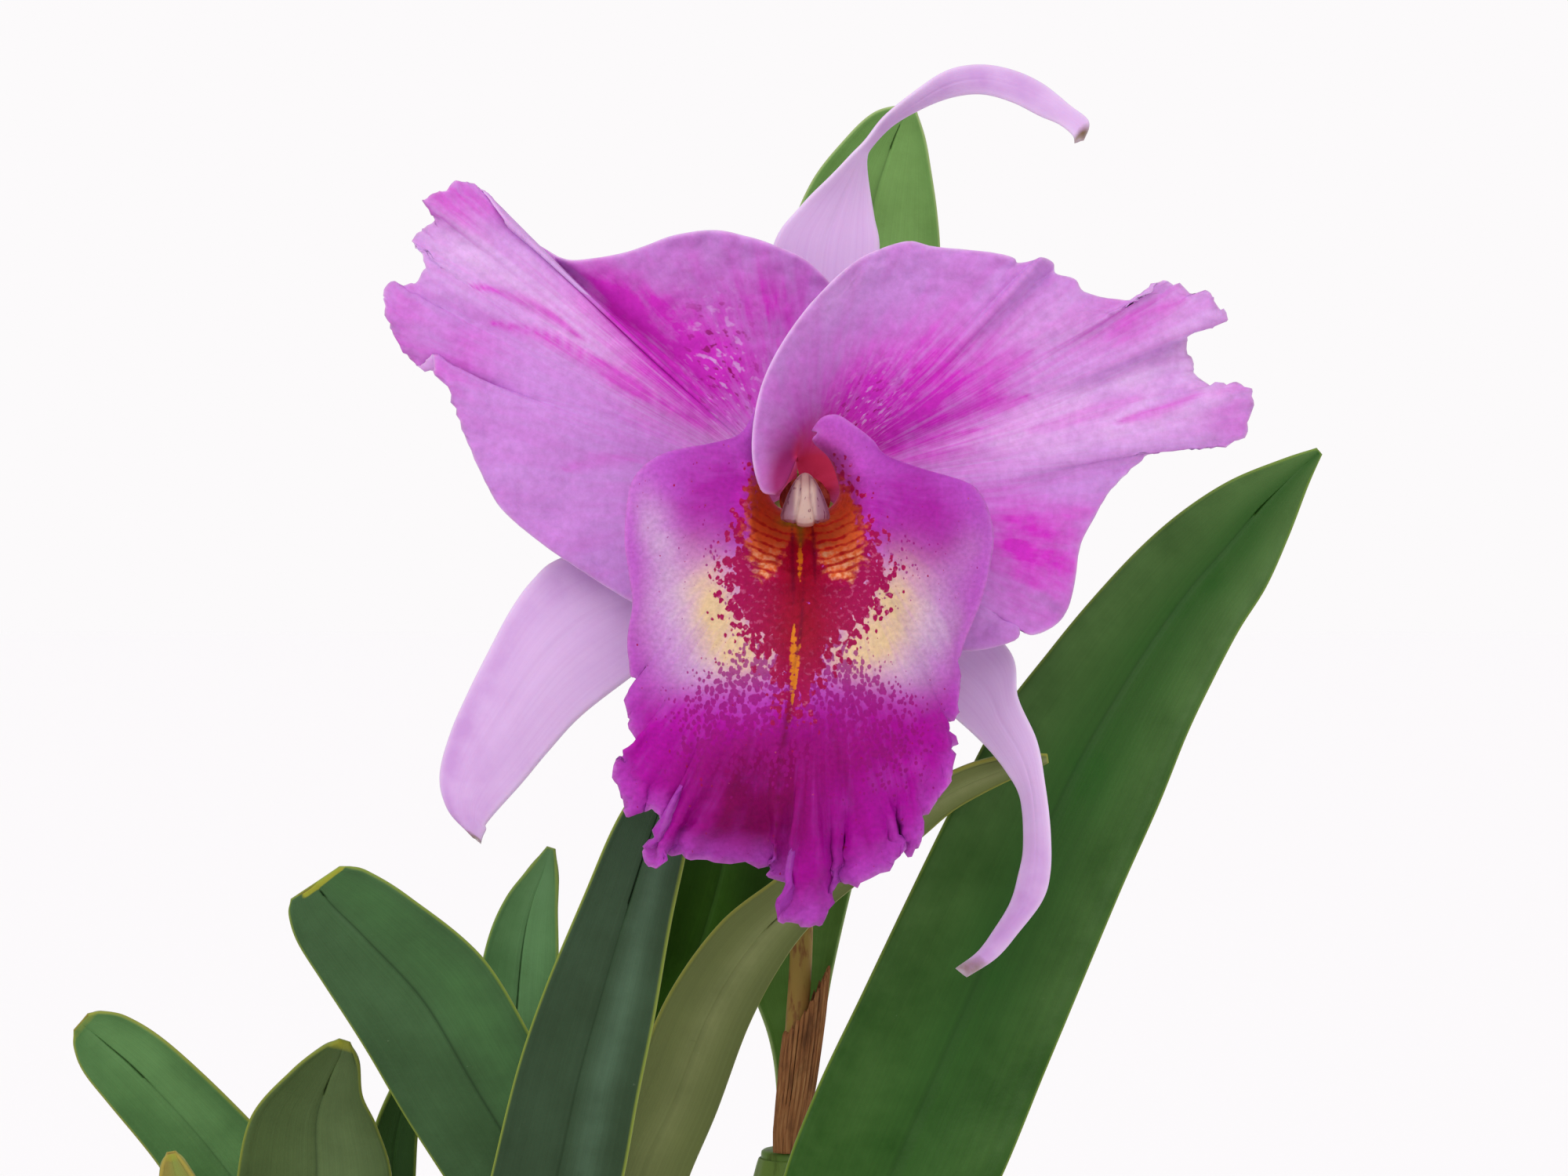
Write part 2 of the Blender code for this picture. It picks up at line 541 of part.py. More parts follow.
def lip(material, group):
    """The lip: a tube round the column that opens into a wide ruffled trumpet."""
    outline = np.array(LIP, float)
    share = np.linspace(0, 1, len(outline))
    soft = softened(outline)
    from_middle = soft - LIP_MIDDLE
    way = np.unwrap(np.arctan2(from_middle[:, 1], from_middle[:, 0]))
    way = (way - way[0]) / (way[-1] - way[0])
    spread = LIP_BY_DIRECTION * way + (1 - LIP_BY_DIRECTION) * share

    def oval(angles, half_width, half_height, middle):
        turn = np.radians(angles[0] + (angles[1] - angles[0]) * spread)
        round_it = np.column_stack([half_width * np.cos(turn), half_height * np.sin(turn)])
        return round_it + middle

    rings = []
    for step, (angles, half_width, half_height, depth) in enumerate(LIP_TUBE):
        middle = np.array(LIP_MIDDLE) * step / len(LIP_TUBE)
        rings.append(ring(oval(angles, half_width, half_height, middle), depth))
    mouth = oval(*LIP_MOUTH, LIP_MIDDLE)
    rings.append(ring(mouth, LIP_MOUTH_DEPTHS))
    rings.append(ring(mouth + LIP_SPREAD * (soft - mouth), LIP_SPREAD_DEPTHS))
    edge = ring(outline, LIP_EDGE_DEPTHS)
    low = np.sin(np.pi * share) ** 2
    edge[:, 2] += LIP_RUFFLE_HEIGHT * low * np.sin(2 * np.pi * LIP_RUFFLES * share)
    rings.append(edge)
    places = fan(np.array(rings), LIP_RINGS, LIP_STEPS)
    return blade("lip", on_flower(places), PETAL_THICKNESS, material, group)


def ladder(left, right, along, across, sag):
    """A grid of places between a left and a right edge, whose middle sags back by SAG."""
    at = np.linspace(0, 1, along + 1)
    left, right = spline(left, at), spline(right, at)
    sag = spline(np.broadcast_to(sag, 2), at) if np.ndim(sag) == 0 else spline(sag, at)
    side = np.linspace(0, 1, across + 1)[None, :, None]
    places = (1 - side) * left[:, None] + side * right[:, None]
    places[..., 1] += sag[:, None] * (1 - np.abs(2 * side[..., 0] - 1) ** 1.5)
    return places


def sepal(name, rows, along, sag, material, group):
    """A sepal between its two edges."""
    left = on_flower([row[0] for row in rows])
    right = on_flower([row[1] for row in rows])
    places = ladder(left, right, along, SEPAL_STEPS_ACROSS, sag)
    return blade(name, places, SEPAL_THICKNESS, material, group)


def leaf(name, bulb, stand, lean, fold, rows, material, group):
    """A strap leaf whose foot stands on its bulb's top."""
    top = BULBS[bulb][1]
    rows = np.array(rows, float)
    foot = (top[0] + stand[0], top[1] + stand[1], top[2] + LEAF_FOOT_GAP)
    middle = np.vstack([foot, seen(rows[:, [0, 1, 3]])])
    half = np.append(LEAF_FOOT_HALF, rows[:, 2] * (1 + rows[:, 3] / VIEW_DISTANCE))
    way = np.gradient(middle, axis=0)
    across = np.column_stack([way[:, 2], np.zeros(len(way)), -way[:, 0]])
    across /= np.linalg.norm(across, axis=1, keepdims=True)
    across[0] = (1, 0, 0)
    back = np.column_stack([np.zeros(len(half)), lean * half / half.max(), np.zeros(len(half))])
    back[0] = 0
    left = middle - half[:, None] * across - back
    right = middle + half[:, None] * across + back
    sag = fold * half
    sag[0] = 0
    places = ladder(left, right, *LEAF_STEPS, sag)
    return blade(name, places, LEAF_THICKNESS, material, group)


def bulb(name, foot, top, radius, top_radius, material, group):
    """A club-shaped pseudobulb, upright at its foot and at its top."""
    foot_z = RHIZOME_Z + RHIZOME_RADIUS + GAP
    height = top[2] - foot_z
    rows = [(*foot, foot_z, BULB_FOOT_RADIUS)]
    for share, wide in BULB_PROFILE:
        lean = share**BULB_LEAN
        x = foot[0] + (top[0] - foot[0]) * lean
        y = foot[1] + (top[1] - foot[1]) * lean
        rows.append((x, y, foot_z + height * share, radius * wide))
    rows[1] = (*foot, rows[1][2], rows[1][3])
    rows.append((top[0], top[1], top[2] - BULB_NECK[0], top_radius * BULB_NECK[1]))
    rows.append((*top, top_radius))
    return tube(name, rows, BULB_SIDES, material, group)


def stalk_rows():
    """The stalk's middle line, from its foot on the flowering bulb to the flower."""
    top = BULBS["bulb_flowering"][1]
    rows = np.array(STALK, float)
    foot = (top[0] + STALK_FOOT[0], top[1] + STALK_FOOT[1], top[2] + GAP)
    start = (foot[0], foot[1], foot[2] + STALK_UPRIGHT, STALK_FOOT_RADIUS)
    upper = np.column_stack([seen(rows[:, :3]), rows[:, 3]])
    return np.vstack([(*foot, STALK_FOOT_RADIUS), start, upper])


def sheath(material, group):
    """A dry sheath that stands round the foot of the stalk, taller on its right side."""
    line = stalk_rows()[:6, :3]
    height = line[:, 2] - line[0, 2]
    around, upwards = SHEATH_STEPS
    angle = np.radians(np.linspace(*SHEATH_ARC, around + 1))
    rim = SHEATH_LOW + (SHEATH_HIGH - SHEATH_LOW) * (0.5 + 0.5 * np.cos(angle)) ** 1.5
    places = np.empty((around + 1, upwards + 1, 3))
    for row, share in enumerate(np.linspace(0, 1, upwards + 1)):
        up = share * rim
        radius = spline(SHEATH_RADII, np.array([share]))[0]
        lean = SHEATH_LEAN * share * rim / SHEATH_HIGH
        places[:, row, 0] = np.interp(up, height, line[:, 0]) + radius * np.cos(angle) + lean
        places[:, row, 1] = np.interp(up, height, line[:, 1]) + radius * np.sin(angle)
        places[:, row, 2] = line[0, 2] + up
    return blade("flower_sheath", places, SHEATH_THICKNESS, material, group)


def anther_cap(material, group):
    """The cap on the column's end, wider below than above."""
    shape = bmesh.new()
    bmesh.ops.create_uvsphere(shape, u_segments=14, v_segments=9, radius=1)
    depth = COLUMN_END - GAP - CAP_HALF[1]
    middle = on_flower((*CAP_MIDDLE, depth))
    for vert in shape.verts:
        x, y, z = vert.co
        wide = CAP_WIDTH - CAP_TAPER * z
        vert.co = (
            (middle[0] + CAP_HALF[0] * wide * x) * MM,
            (middle[1] + CAP_HALF[1] * y) * MM,
            (middle[2] + CAP_HALF[2] * z) * MM,
        )
    mesh = bpy.data.meshes.new("anther_cap")
    shape.to_mesh(mesh)
    shape.free()
    mesh.shade_smooth()
    return place("anther_cap", mesh, material, group)


def root_rows(name, radius, first=0):
    """A root's middle line from the rhizome down into the bark."""
    x, y = BULBS[name][0]
    turn = math.radians(ROOTS[name])
    return [(x + out * math.cos(turn), y + out * math.sin(turn), z, radius) for out, z in ROOT_PATH[first:]]


def rhizome(material, group):
    """The creeping stem in two shoots from the oldest bulb, with its roots, as one body."""
    runs = []
    for shoot in (FRONT_SHOOT, BACK_SHOOT):
        feet = np.array([BULBS[name][0] for name in shoot], float)
        ahead = feet[-1] + (feet[-1] - feet[-2]) / np.linalg.norm(feet[-1] - feet[-2]) * SHOOT_TIP
        line = spline(np.vstack([feet, ahead]), np.linspace(0, 1, 2 * len(feet) + 1))
        radii = np.full(len(line), RHIZOME_RADIUS)
        radii[-1] = SHOOT_TIP_RADIUS
        runs.append([(x, y, RHIZOME_Z, radius) for (x, y), radius in zip(line, radii)])
    stem = meshed(tube("rhizome", runs[0], STEM_SIDES, material, group))
    others = helpers("rhizome_pieces")
    meshed(tube("back_shoot", runs[1], STEM_SIDES, material, others))
    for name in ROOTS:
        meshed(tube("root_" + name, root_rows(name, ROOT_RADIUS), ROOT_SIDES, material, others))
    return fuse(stem, others), [np.array(run)[:, :2] for run in runs]


def bark(keep_clear, material, group):
    """The filling of the pot: one body with chips on its top and plain holes for the roots."""
    neck = POT_HEIGHT - RIM_HEIGHT
    filling = turned(
        "bark",
        [
            (0, BARK_TOP),
            (pot_inner(BARK_TOP) - 3 * GAP, BARK_TOP - 1),
            (pot_inner(neck) - GAP, neck),
            (pot_inner(POT_FLOOR) - GAP, POT_FLOOR + GAP),
            (0, POT_FLOOR + GAP),
        ],
        POT_SIDES,
        material,
        group,
    )
    filling = meshed(filling)
    draw = random.Random(CHIP_SEED)
    chips = helpers("bark_chips")
    placed = []
    for attempt in range(CHIP_TRIES):
        x, y = draw.uniform(-CHIP_REACH, CHIP_REACH), draw.uniform(-CHIP_REACH, CHIP_REACH)
        if len(placed) == CHIPS:
            break
        if math.hypot(x, y) > CHIP_REACH:
            continue
        if min(np.hypot(*(line - (x, y)).T).min() for line in keep_clear) < CHIP_CLEARANCE:
            continue
        if any(math.hypot(x - other[0], y - other[1]) < CHIP_SPACING for other in placed):
            continue
        placed.append((x, y))
        tilt = [draw.uniform(-CHIP_TILT, CHIP_TILT) for _ in range(2)]
        turn = Euler([*tilt, draw.uniform(0, math.pi)])
        shape = bmesh.new()
        size = [length * draw.uniform(0.75, 1) for length in CHIP_SIZE]
        bmesh.ops.create_cube(shape, size=MM, matrix=Matrix.Diagonal((*size, 1)))
        bmesh.ops.transform(shape, matrix=turn.to_matrix(), verts=shape.verts)
        bmesh.ops.translate(shape, vec=Vector((x, y, BARK_TOP + CHIP_SINK)) * MM, verts=shape.verts)
        mesh = bpy.data.meshes.new("chip")
        shape.to_mesh(mesh)
        shape.free()
        place("chip", mesh, material, chips)
    filling = fuse(filling, chips)
    holes = helpers("root_holes")
    for name in ROOTS:
        rows = root_rows(name, ROOT_RADIUS + HOLE_ROOM, HOLE_FROM)
        rows[-1] = (rows[-1][0], rows[-1][1], rows[-1][2] - 1, rows[-1][3])
        meshed(tube("hole_" + name, rows, ROOT_SIDES + 2, material, holes))
    return fuse(filling, holes, "DIFFERENCE")


def pot_outer(z):
    """The pot's outer radius below its rim."""
    neck = POT_RADIUS - RIM_STEP
    return POT_FOOT_RADIUS + (neck - POT_FOOT_RADIUS) * z / (POT_HEIGHT - RIM_HEIGHT)


def pot_inner(z):
    """The pot's inner radius: the wall's own taper, and a steeper one inside the rim."""
    neck = POT_HEIGHT - RIM_HEIGHT
    return pot_outer(min(z, neck)) - POT_WALL + RIM_TAPER * max(z - neck, 0)


def pot(material, group, cutters):
    """A plain clay flowerpot with a rim band and four drain holes off its middle."""
    neck = POT_HEIGHT - RIM_HEIGHT
    solid = turned(
        "pot",
        [
            (0, POT_FLOOR),
            (pot_inner(POT_FLOOR), POT_FLOOR),
            (pot_inner(neck), neck),
            (pot_inner(POT_HEIGHT), POT_HEIGHT - POT_EDGE),
            (pot_inner(POT_HEIGHT) + POT_EDGE, POT_HEIGHT),
            (POT_RADIUS - POT_EDGE, POT_HEIGHT),
            (POT_RADIUS, POT_HEIGHT - POT_EDGE),
            (POT_RADIUS - 1, neck + POT_EDGE),
            (POT_RADIUS - 1 - POT_EDGE, neck),
            (pot_outer(neck), neck),
            (pot_outer(POT_EDGE), POT_EDGE),
            (pot_outer(0) - POT_EDGE, 0),
            (0, 0),
        ],
        POT_SIDES,
        material,
        group,
    )
    for number in range(4):
        turn = math.radians(DRAIN_TURN + 90 * number)
        shape = bmesh.new()
        bmesh.ops.create_cone(
            shape,
            cap_ends=True,
            segments=16,
            radius1=DRAIN_RADIUS * MM,
            radius2=DRAIN_RADIUS * MM,
            depth=3 * POT_FLOOR * MM,
        )
        mesh = bpy.data.meshes.new("drain")
        shape.to_mesh(mesh)
        shape.free()
        drain = place(f"drain_{number + 1}", mesh, material, cutters)
        middle = (DRAIN_CIRCLE * math.cos(turn), DRAIN_CIRCLE * math.sin(turn), 0.5 * POT_FLOOR)
        drain.location = Vector(middle) * MM
        drain.hide_render = True
        drain.display_type = "WIRE"
        cut = solid.modifiers.new(f"drain {number + 1}", "BOOLEAN")
        cut.object = drain
        cut.operation = "DIFFERENCE"
        cut.solver = "EXACT"
    return solid


def main():
    for obj in list(bpy.data.objects):
        bpy.data.objects.remove(obj)
    orchid = bpy.data.collections.new("cattleya_orchid")
    cutters = bpy.data.collections.new("cutters")
    bpy.context.scene.collection.children.link(orchid)
    bpy.context.scene.collection.children.link(cutters)

    lilac = look("lilac petal", "C878D2", 0.5)
    pale = look("pale sepal", "D2AEE0", 0.5)
    purple = look("purple lip", "A5168F", 0.5)
    column_skin = look("column skin", "B06A86", 0.45)
    cap_skin = look("cap skin", "E3D3DC", 0.4)
    leaf_green = look("leaf green", "3A5F2C", 0.42)
    stalk_green = look("stalk green", "8D9440", 0.5)
    dry_sheath = look("dry sheath", "70502F", 0.8)
    bulb_green = look("bulb green", "71873F", 0.5)
    root_brown = look("root brown", "8A7A58", 0.75)
    bark_brown = look("bark brown", "6E4A32", 0.9)
    clay = look("clay", "B5633F", 0.8)

    petal("right_petal", RIGHT_PETAL, (70, 10), RIGHT_DEPTHS, LOBE_RISE, lilac, orchid)
    petal("left_petal", LEFT_PETAL, (110, 170), LEFT_DEPTHS, (0, 0), lilac, orchid)
    lip(purple, orchid)
    sepal("dorsal_sepal", DORSAL_SEPAL, 22, -0.6, pale, orchid)
    sepal("left_lateral_sepal", LEFT_SEPAL, 16, -1.2, pale, orchid)
    sepal("right_lateral_sepal", RIGHT_SEPAL, 18, -0.8, pale, orchid)
    column = np.array(COLUMN, float)
    column = np.column_stack([on_flower(column[:, :3]), column[:, 3]])
    tube("column", column, COLUMN_SIDES, column_skin, orchid)
    anther_cap(cap_skin, orchid)
    tube("flower_stalk", stalk_rows(), STEM_SIDES, stalk_green, orchid)
    sheath(dry_sheath, orchid)

    for name, (stands_on, stand, lean, fold, rows) in LEAVES.items():
        leaf(name, stands_on, stand, lean, fold, rows, leaf_green, orchid)
    for name, (foot, top, radius, top_radius) in BULBS.items():
        bulb(name, foot, top, radius, top_radius, bulb_green, orchid)
    _, keep_clear = rhizome(root_brown, orchid)
    roots = [np.array(root_rows(name, ROOT_RADIUS))[1:4, :2] for name in ROOTS]
    bark(keep_clear + roots, bark_brown, orchid)
    pot(clay, orchid, cutters)


main()
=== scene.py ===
# %% [markdown]
# # A potted cattleya orchid
#
# This script dresses the plain solids of a potted orchid with finer pieces and living materials. The
# solids come in as a fixed frame: each piece made here either stands for one of them or sits on it.

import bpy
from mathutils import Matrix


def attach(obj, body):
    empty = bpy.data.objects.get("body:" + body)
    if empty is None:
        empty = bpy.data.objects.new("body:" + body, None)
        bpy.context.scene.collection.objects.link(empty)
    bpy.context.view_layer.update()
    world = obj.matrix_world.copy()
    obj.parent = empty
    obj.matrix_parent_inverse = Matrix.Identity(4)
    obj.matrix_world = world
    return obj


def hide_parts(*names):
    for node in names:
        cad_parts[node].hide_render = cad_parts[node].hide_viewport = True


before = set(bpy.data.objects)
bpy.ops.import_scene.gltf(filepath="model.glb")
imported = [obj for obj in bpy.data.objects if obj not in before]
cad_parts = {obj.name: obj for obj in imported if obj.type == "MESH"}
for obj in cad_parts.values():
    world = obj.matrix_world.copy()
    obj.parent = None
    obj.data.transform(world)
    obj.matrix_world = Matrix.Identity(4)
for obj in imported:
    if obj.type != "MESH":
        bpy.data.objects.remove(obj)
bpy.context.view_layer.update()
print("the frame's nodes:", len(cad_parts))

# %% Blender's modules
import math
import random
from functools import partial

import bmesh
import bpy
import numpy as np
from mathutils import Vector, noise

scene = bpy.context.scene
MM = 0.001

# %% [markdown]
# ## The camera
#
# The flower was photographed from straight in front. A camera 700 mm away on the same line, whose lens
# takes in 289 mm across the flower's plane, gives the photo's frame with the object at its real size.

# %% The camera
EYE_X, EYE_Z = 40.4, 358.3
VIEW_DISTANCE = 700
VIEW_WIDTH = 288.8
SENSOR = 36

camera_data = bpy.data.cameras.new("camera")
camera_data.sensor_width = SENSOR
camera_data.lens = SENSOR * VIEW_DISTANCE / VIEW_WIDTH
camera = bpy.data.objects.new("camera", camera_data)
camera.location = Vector((EYE_X, -VIEW_DISTANCE, EYE_Z)) * MM
camera.rotation_euler = (math.radians(90), 0, 0)
scene.collection.objects.link(camera)
scene.camera = camera
print("lens", round(camera_data.lens, 1), "mm")

# %% [markdown]
# ## Colour and nodes
#
# Colours are written as the hex codes that a picture editor shows. Blender's shaders count in linear
# light, so one function turns a code into linear values. A second small function adds a node of any
# kind, with its settings and links. A table gives plain names to the kinds that come up often.

# %% Colours
def srgb(code):
    values = [int(code[at : at + 2], 16) / 255 for at in (0, 2, 4)]
    return [v / 12.92 if v <= 0.04045 else ((v + 0.055) / 1.055) ** 2.4 for v in values] + [1]


# %% Nodes
# Blender's name, the sockets that the values fill in order, the output that is used, and settings
NODES = {
    "mix": ("ShaderNodeMix", (0, 6, 7), 2, {"data_type": "RGBA"}),
    "tint": ("ShaderNodeMix", (0, 6, 7), 2, {"data_type": "RGBA", "blend_type": "MULTIPLY"}),
    "range": ("ShaderNodeMapRange", range(5), 0, {}),
    "noise": ("ShaderNodeTexNoise", ("Vector",), 0, {}),
    "voronoi": ("ShaderNodeTexVoronoi", ("Vector",), 0, {}),
    "stretch": ("ShaderNodeMapping", ("Vector", "Scale"), 0, {}),
    "ramp": ("ShaderNodeValToRGB", (0,), 0, {}),
    "bump": ("ShaderNodeBump", ("Height", "Strength", "Distance"), 0, {}),
    "map": ("ShaderNodeUVMap", (), 0, {}),
    "layer": ("ShaderNodeAttribute", (), "Fac", {}),
    "place": ("ShaderNodeTexCoord", (), "Object", {}),
    "random number": ("FunctionNodeRandomValue", (2, 3), 1, {"data_type": "FLOAT"}),
    "random vector": ("FunctionNodeRandomValue", (0, 1), 0, {"data_type": "FLOAT_VECTOR"}),
}


def add(tree, kind, *values, stops=(), out=None, **named):
    """Adds a node and returns one of its outputs.

    KIND is a name in NODES, an operation of the Math node in capitals, or Blender's own name. VALUES are
    numbers, colours or outputs of other nodes. In NAMED a capital marks a socket, and a small letter a
    setting. STOPS are the places and colours of a ramp.
    """
    full, sockets, usual, settings = NODES.get(kind, (kind, range(len(values)), 0, {}))
    if kind.isupper():
        full, settings = "ShaderNodeMath", {"operation": kind}
    made = tree.nodes.new(full)
    inputs = dict(zip(sockets, values))
    for name, value in {**settings, **named}.items():
        if name[0].isupper():
            inputs[name.replace("_", " ")] = value
        else:
            setattr(made, name, value)
    for name, value in inputs.items():
        socket = made.inputs[name]
        if isinstance(value, bpy.types.NodeSocket):
            tree.links.new(value, socket)
        else:
            coloured = socket.type == "RGBA" and isinstance(value, str)
            socket.default_value = srgb(value) if coloured else value
    for number, (at, code) in enumerate(stops):
        if number > 1:
            made.color_ramp.elements.new(at)
        made.color_ramp.elements[number].position = at
        made.color_ramp.elements[number].color = srgb(code)
    return made.outputs[usual if out is None else out]


# %% Materials
SHINE = 0.1


def skin(name, roughness, glow=(0, 0), **sockets):
    """A Principled material, add() tied to its tree, and its shader.

    GLOW is how much light scatters below the surface, and how far in metres.
    """
    material = bpy.data.materials.new(name)
    material.use_nodes = True
    shader = material.node_tree.nodes["Principled BSDF"]
    shader.inputs["Roughness"].default_value = roughness
    if any(glow):
        sockets.update(Subsurface_Weight=glow[0], Subsurface_Scale=glow[1])
    for socket, value in {"Specular_IOR_Level": SHINE, **sockets}.items():
        shader.inputs[socket.replace("_", " ")].default_value = value
    return material, partial(add, material.node_tree), shader


def paint(shader, colour, bump=None):
    links = shader.id_data.links
    links.new(colour, shader.inputs["Base Color"])
    if bump is not None:
        links.new(bump, shader.inputs["Normal"])


def read_maps(put, *names):
    """A sheet's two maps, and its layers by name."""
    layer = {name: put("layer", attribute_name=name) for name in (*names, "rim", "front")}
    return put("map", uv_map="along"), put("map", uv_map="flat"), layer


# %% [markdown]
# ## Light and floor
#
# Soft daylight from all round, with one broad lamp from the upper left, keeps the petals' own colours
# and still shows their folds. The floor is plain and pale, and so is the world behind it.

# %% Light and floor
SKY_STRENGTH = 0.70
SUN_STRENGTH = 1.5
SUN_WIDTH, SUN_TIP, SUN_TURN = 60, 50, -12
FLOOR_REACH = 30

world = bpy.data.worlds.new("studio")
world.use_nodes = True
scene.world = world
light_of_sky = world.node_tree.nodes["Background"]
light_of_sky.inputs["Color"].default_value = srgb("FDFBFC")
light_of_sky.inputs["Strength"].default_value = SKY_STRENGTH
seen_sky = add(world.node_tree, "ShaderNodeBackground", Color="FCFAFB", Strength=1.0)
camera_ray = add(world.node_tree, "ShaderNodeLightPath")
sky = add(world.node_tree, "ShaderNodeMixShader", camera_ray, light_of_sky.outputs[0], seen_sky)
world.node_tree.links.new(sky, world.node_tree.nodes["World Output"].inputs[0])

sun_data = bpy.data.lights.new("window light", "SUN")
sun_data.energy = SUN_STRENGTH
sun_data.angle = math.radians(SUN_WIDTH)
sun = bpy.data.objects.new("window light", sun_data)
sun.rotation_euler = (math.radians(SUN_TIP), 0, math.radians(SUN_TURN))
scene.collection.objects.link(sun)

floor_skin, _, floor_shader = skin("matt white board", 0.9)
floor_shader.inputs["Base Color"].default_value = srgb("FEFDFE")
floor_shape = bmesh.new()
bmesh.ops.create_grid(floor_shape, x_segments=2, y_segments=2, size=FLOOR_REACH)
floor_mesh = bpy.data.meshes.new("floor")
floor_shape.to_mesh(floor_mesh)
floor_shape.free()
floor_mesh.materials.append(floor_skin)
floor = bpy.data.objects.new("floor", floor_mesh)
scene.collection.objects.link(floor)

scene.view_settings.view_transform = "Standard"
scene.view_settings.look = "None"

# %% [markdown]
# ## Curves through points
#
# A petal's outline is a handful of points, measured as they look from the front. A Catmull-Rom spline
# passes through every one of them, so it suits an outline with sharp notches better than a curve that
# only comes near its points. seen() turns what the eye sees, plus a depth, into a place in space.

# %% Curves and places
FLOWER_X, FLOWER_Z = 44.0, 374.2


def spline(rows, at):
    """Rows of numbers read as a smooth curve through all of them, where AT runs from 0 to 1."""
    rows = np.asarray(rows, float)
    ends = np.concatenate([[2 * rows[0] - rows[1]], rows, [2 * rows[-1] - rows[-2]]])
    along = np.clip(at, 0, 1) * (len(rows) - 1)
    start = np.minimum(along.astype(int), len(rows) - 2)
    u = (along - start).reshape(along.shape + (1,) * (rows.ndim - 1))
    a, b, c, d = (ends[start + step] for step in range(4))
    return b + 0.5 * u * (c - a + u * (2 * a - 5 * b + 4 * c - d + u * (3 * (b - c) + d - a)))


def seen(points):
    """World places, in millimetres, of points given as seen x, seen z and depth."""
    points = np.asarray(points, float)
    nearness = 1 + points[..., 2] / VIEW_DISTANCE
    x = EYE_X + (points[..., 0] - EYE_X) * nearness
    z = EYE_Z + (points[..., 1] - EYE_Z) * nearness
    return np.stack([x, points[..., 2], z], axis=-1)


def on_flower(points):
    return seen(np.asarray(points, float) + (FLOWER_X, FLOWER_Z, 0))


def hill(values, middle, width):
    """A smooth rise to 1 at MIDDLE that has gone at about twice WIDTH from it."""
    return np.exp(-(((values - middle) / width) ** 2))


def rise(values, low, high):
    """0 below LOW, 1 above HIGH, and a soft step between them."""
    share = np.clip((values - low) / (high - low), 0, 1)
    return share * share * (3 - 2 * share)


def shares(grid, low=0):
    """How far each point of a grid lies along it, from 0 to 1, and across it, from LOW to 1."""
    return np.meshgrid(np.linspace(0, 1, grid[0]), np.linspace(low, 1, grid[1]), indexing="ij")


def patch(flat, middle, half, turn=0):
    """A soft oval patch on a flat outline: its middle, its half sizes and its turn in degrees."""
    x, z = flat[..., 0] - middle[0], flat[..., 1] - middle[1]
    turn = math.radians(turn)
    along = (x * math.cos(turn) + z * math.sin(turn)) / half[0]
    across = (z * math.cos(turn) - x * math.sin(turn)) / half[1]
    return np.exp(-(along**2 + across**2))


def stroke(flat, line, width):
    """A soft brush line through a few points on a flat outline, thinner at its ends."""
    steps = np.linspace(0, 1, 24)
    path = spline(line, steps)
    nearest = np.zeros(flat.shape[:2])
    for place, step in zip(path, steps):
        half = width * (0.35 + 0.65 * math.sin(math.pi * step))
        away = (flat[..., 0] - place[0]) ** 2 + (flat[..., 1] - place[1]) ** 2
        nearest = np.maximum(nearest, np.exp(-away / half**2))
    return nearest


def marks(flat, rows):
    """Patches and strokes added up, to 1 at most. A row is a mark's strength and then its own numbers."""
    return np.clip(sum(
        strength * (stroke if isinstance(first, list) else patch)(flat, first, *rest)
        for strength, first, *rest in rows
    ), 0, 1)


def between(flat, rows, soft):
    """1 inside a zone given by rows of z, left x and right x, 0.5 on its border and 0 well outside."""
    rows = np.array(sorted(rows), float)
    left = np.interp(flat[..., 1], rows[:, 0], rows[:, 1])
    right = np.interp(flat[..., 1], rows[:, 0], rows[:, 2])
    inside = np.minimum(flat[..., 0] - left, right - flat[..., 0])
    ends = np.minimum(flat[..., 1] - rows[0, 0], rows[-1, 0] - flat[..., 1])
    return 0.5 + 0.5 * np.clip(np.minimum(inside, ends) / soft, -1, 1)


def wander(flat, size, seed, depth=3):
    """Smooth noise between about -1 and 1, whose lumps are SIZE millimetres across."""
    where = flat.reshape(-1, flat.shape[-1])[:, :2] / size
    values = [noise.fractal((x, z, seed), 1.0, 2.0, depth) for x, z in where]
    return np.array(values).reshape(flat.shape[:2])


# %% [markdown]
# ## A living sheet
#
# Petals, sepals, leaves and papery skins are all sheets that thin out towards their rim. A Solidify
# modifier would leave a flat cut edge, so the two faces are set off from the middle surface here, by a
# thickness that shrinks near the rim. Each point keeps two maps: "along" follows the growth of the
# sheet, from its claw outwards, and "flat" is where the point lies as seen from the front, in units of
# 100 mm. Named layers of numbers mark where the pigments lie.

# %% The sheet
# The thickness left at the rim, how many rim widths the layer "rim" reaches in, and the flat map's unit
RIM_SHARE, RIM_LAYER, FLAT_UNIT = 0.3, 4, 100


def smooth_mesh(name, points, faces, layers=None):
    """A smooth mesh of points in metres. Each named layer holds one number for every point."""
    mesh = bpy.data.meshes.new(name)
    mesh.from_pydata(points.tolist(), [], faces)
    mesh.shade_smooth()
    for layer_name, values in (layers or {}).items():
        layer = mesh.attributes.new(layer_name, "FLOAT", "POINT")
        layer.data.foreach_set("value", np.asarray(values, np.float32))
    return mesh


def link(name, mesh, material):
    mesh.materials.append(material)
    piece = bpy.data.objects.new(name, mesh)
    scene.collection.objects.link(piece)
    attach(piece, "root")
    return piece


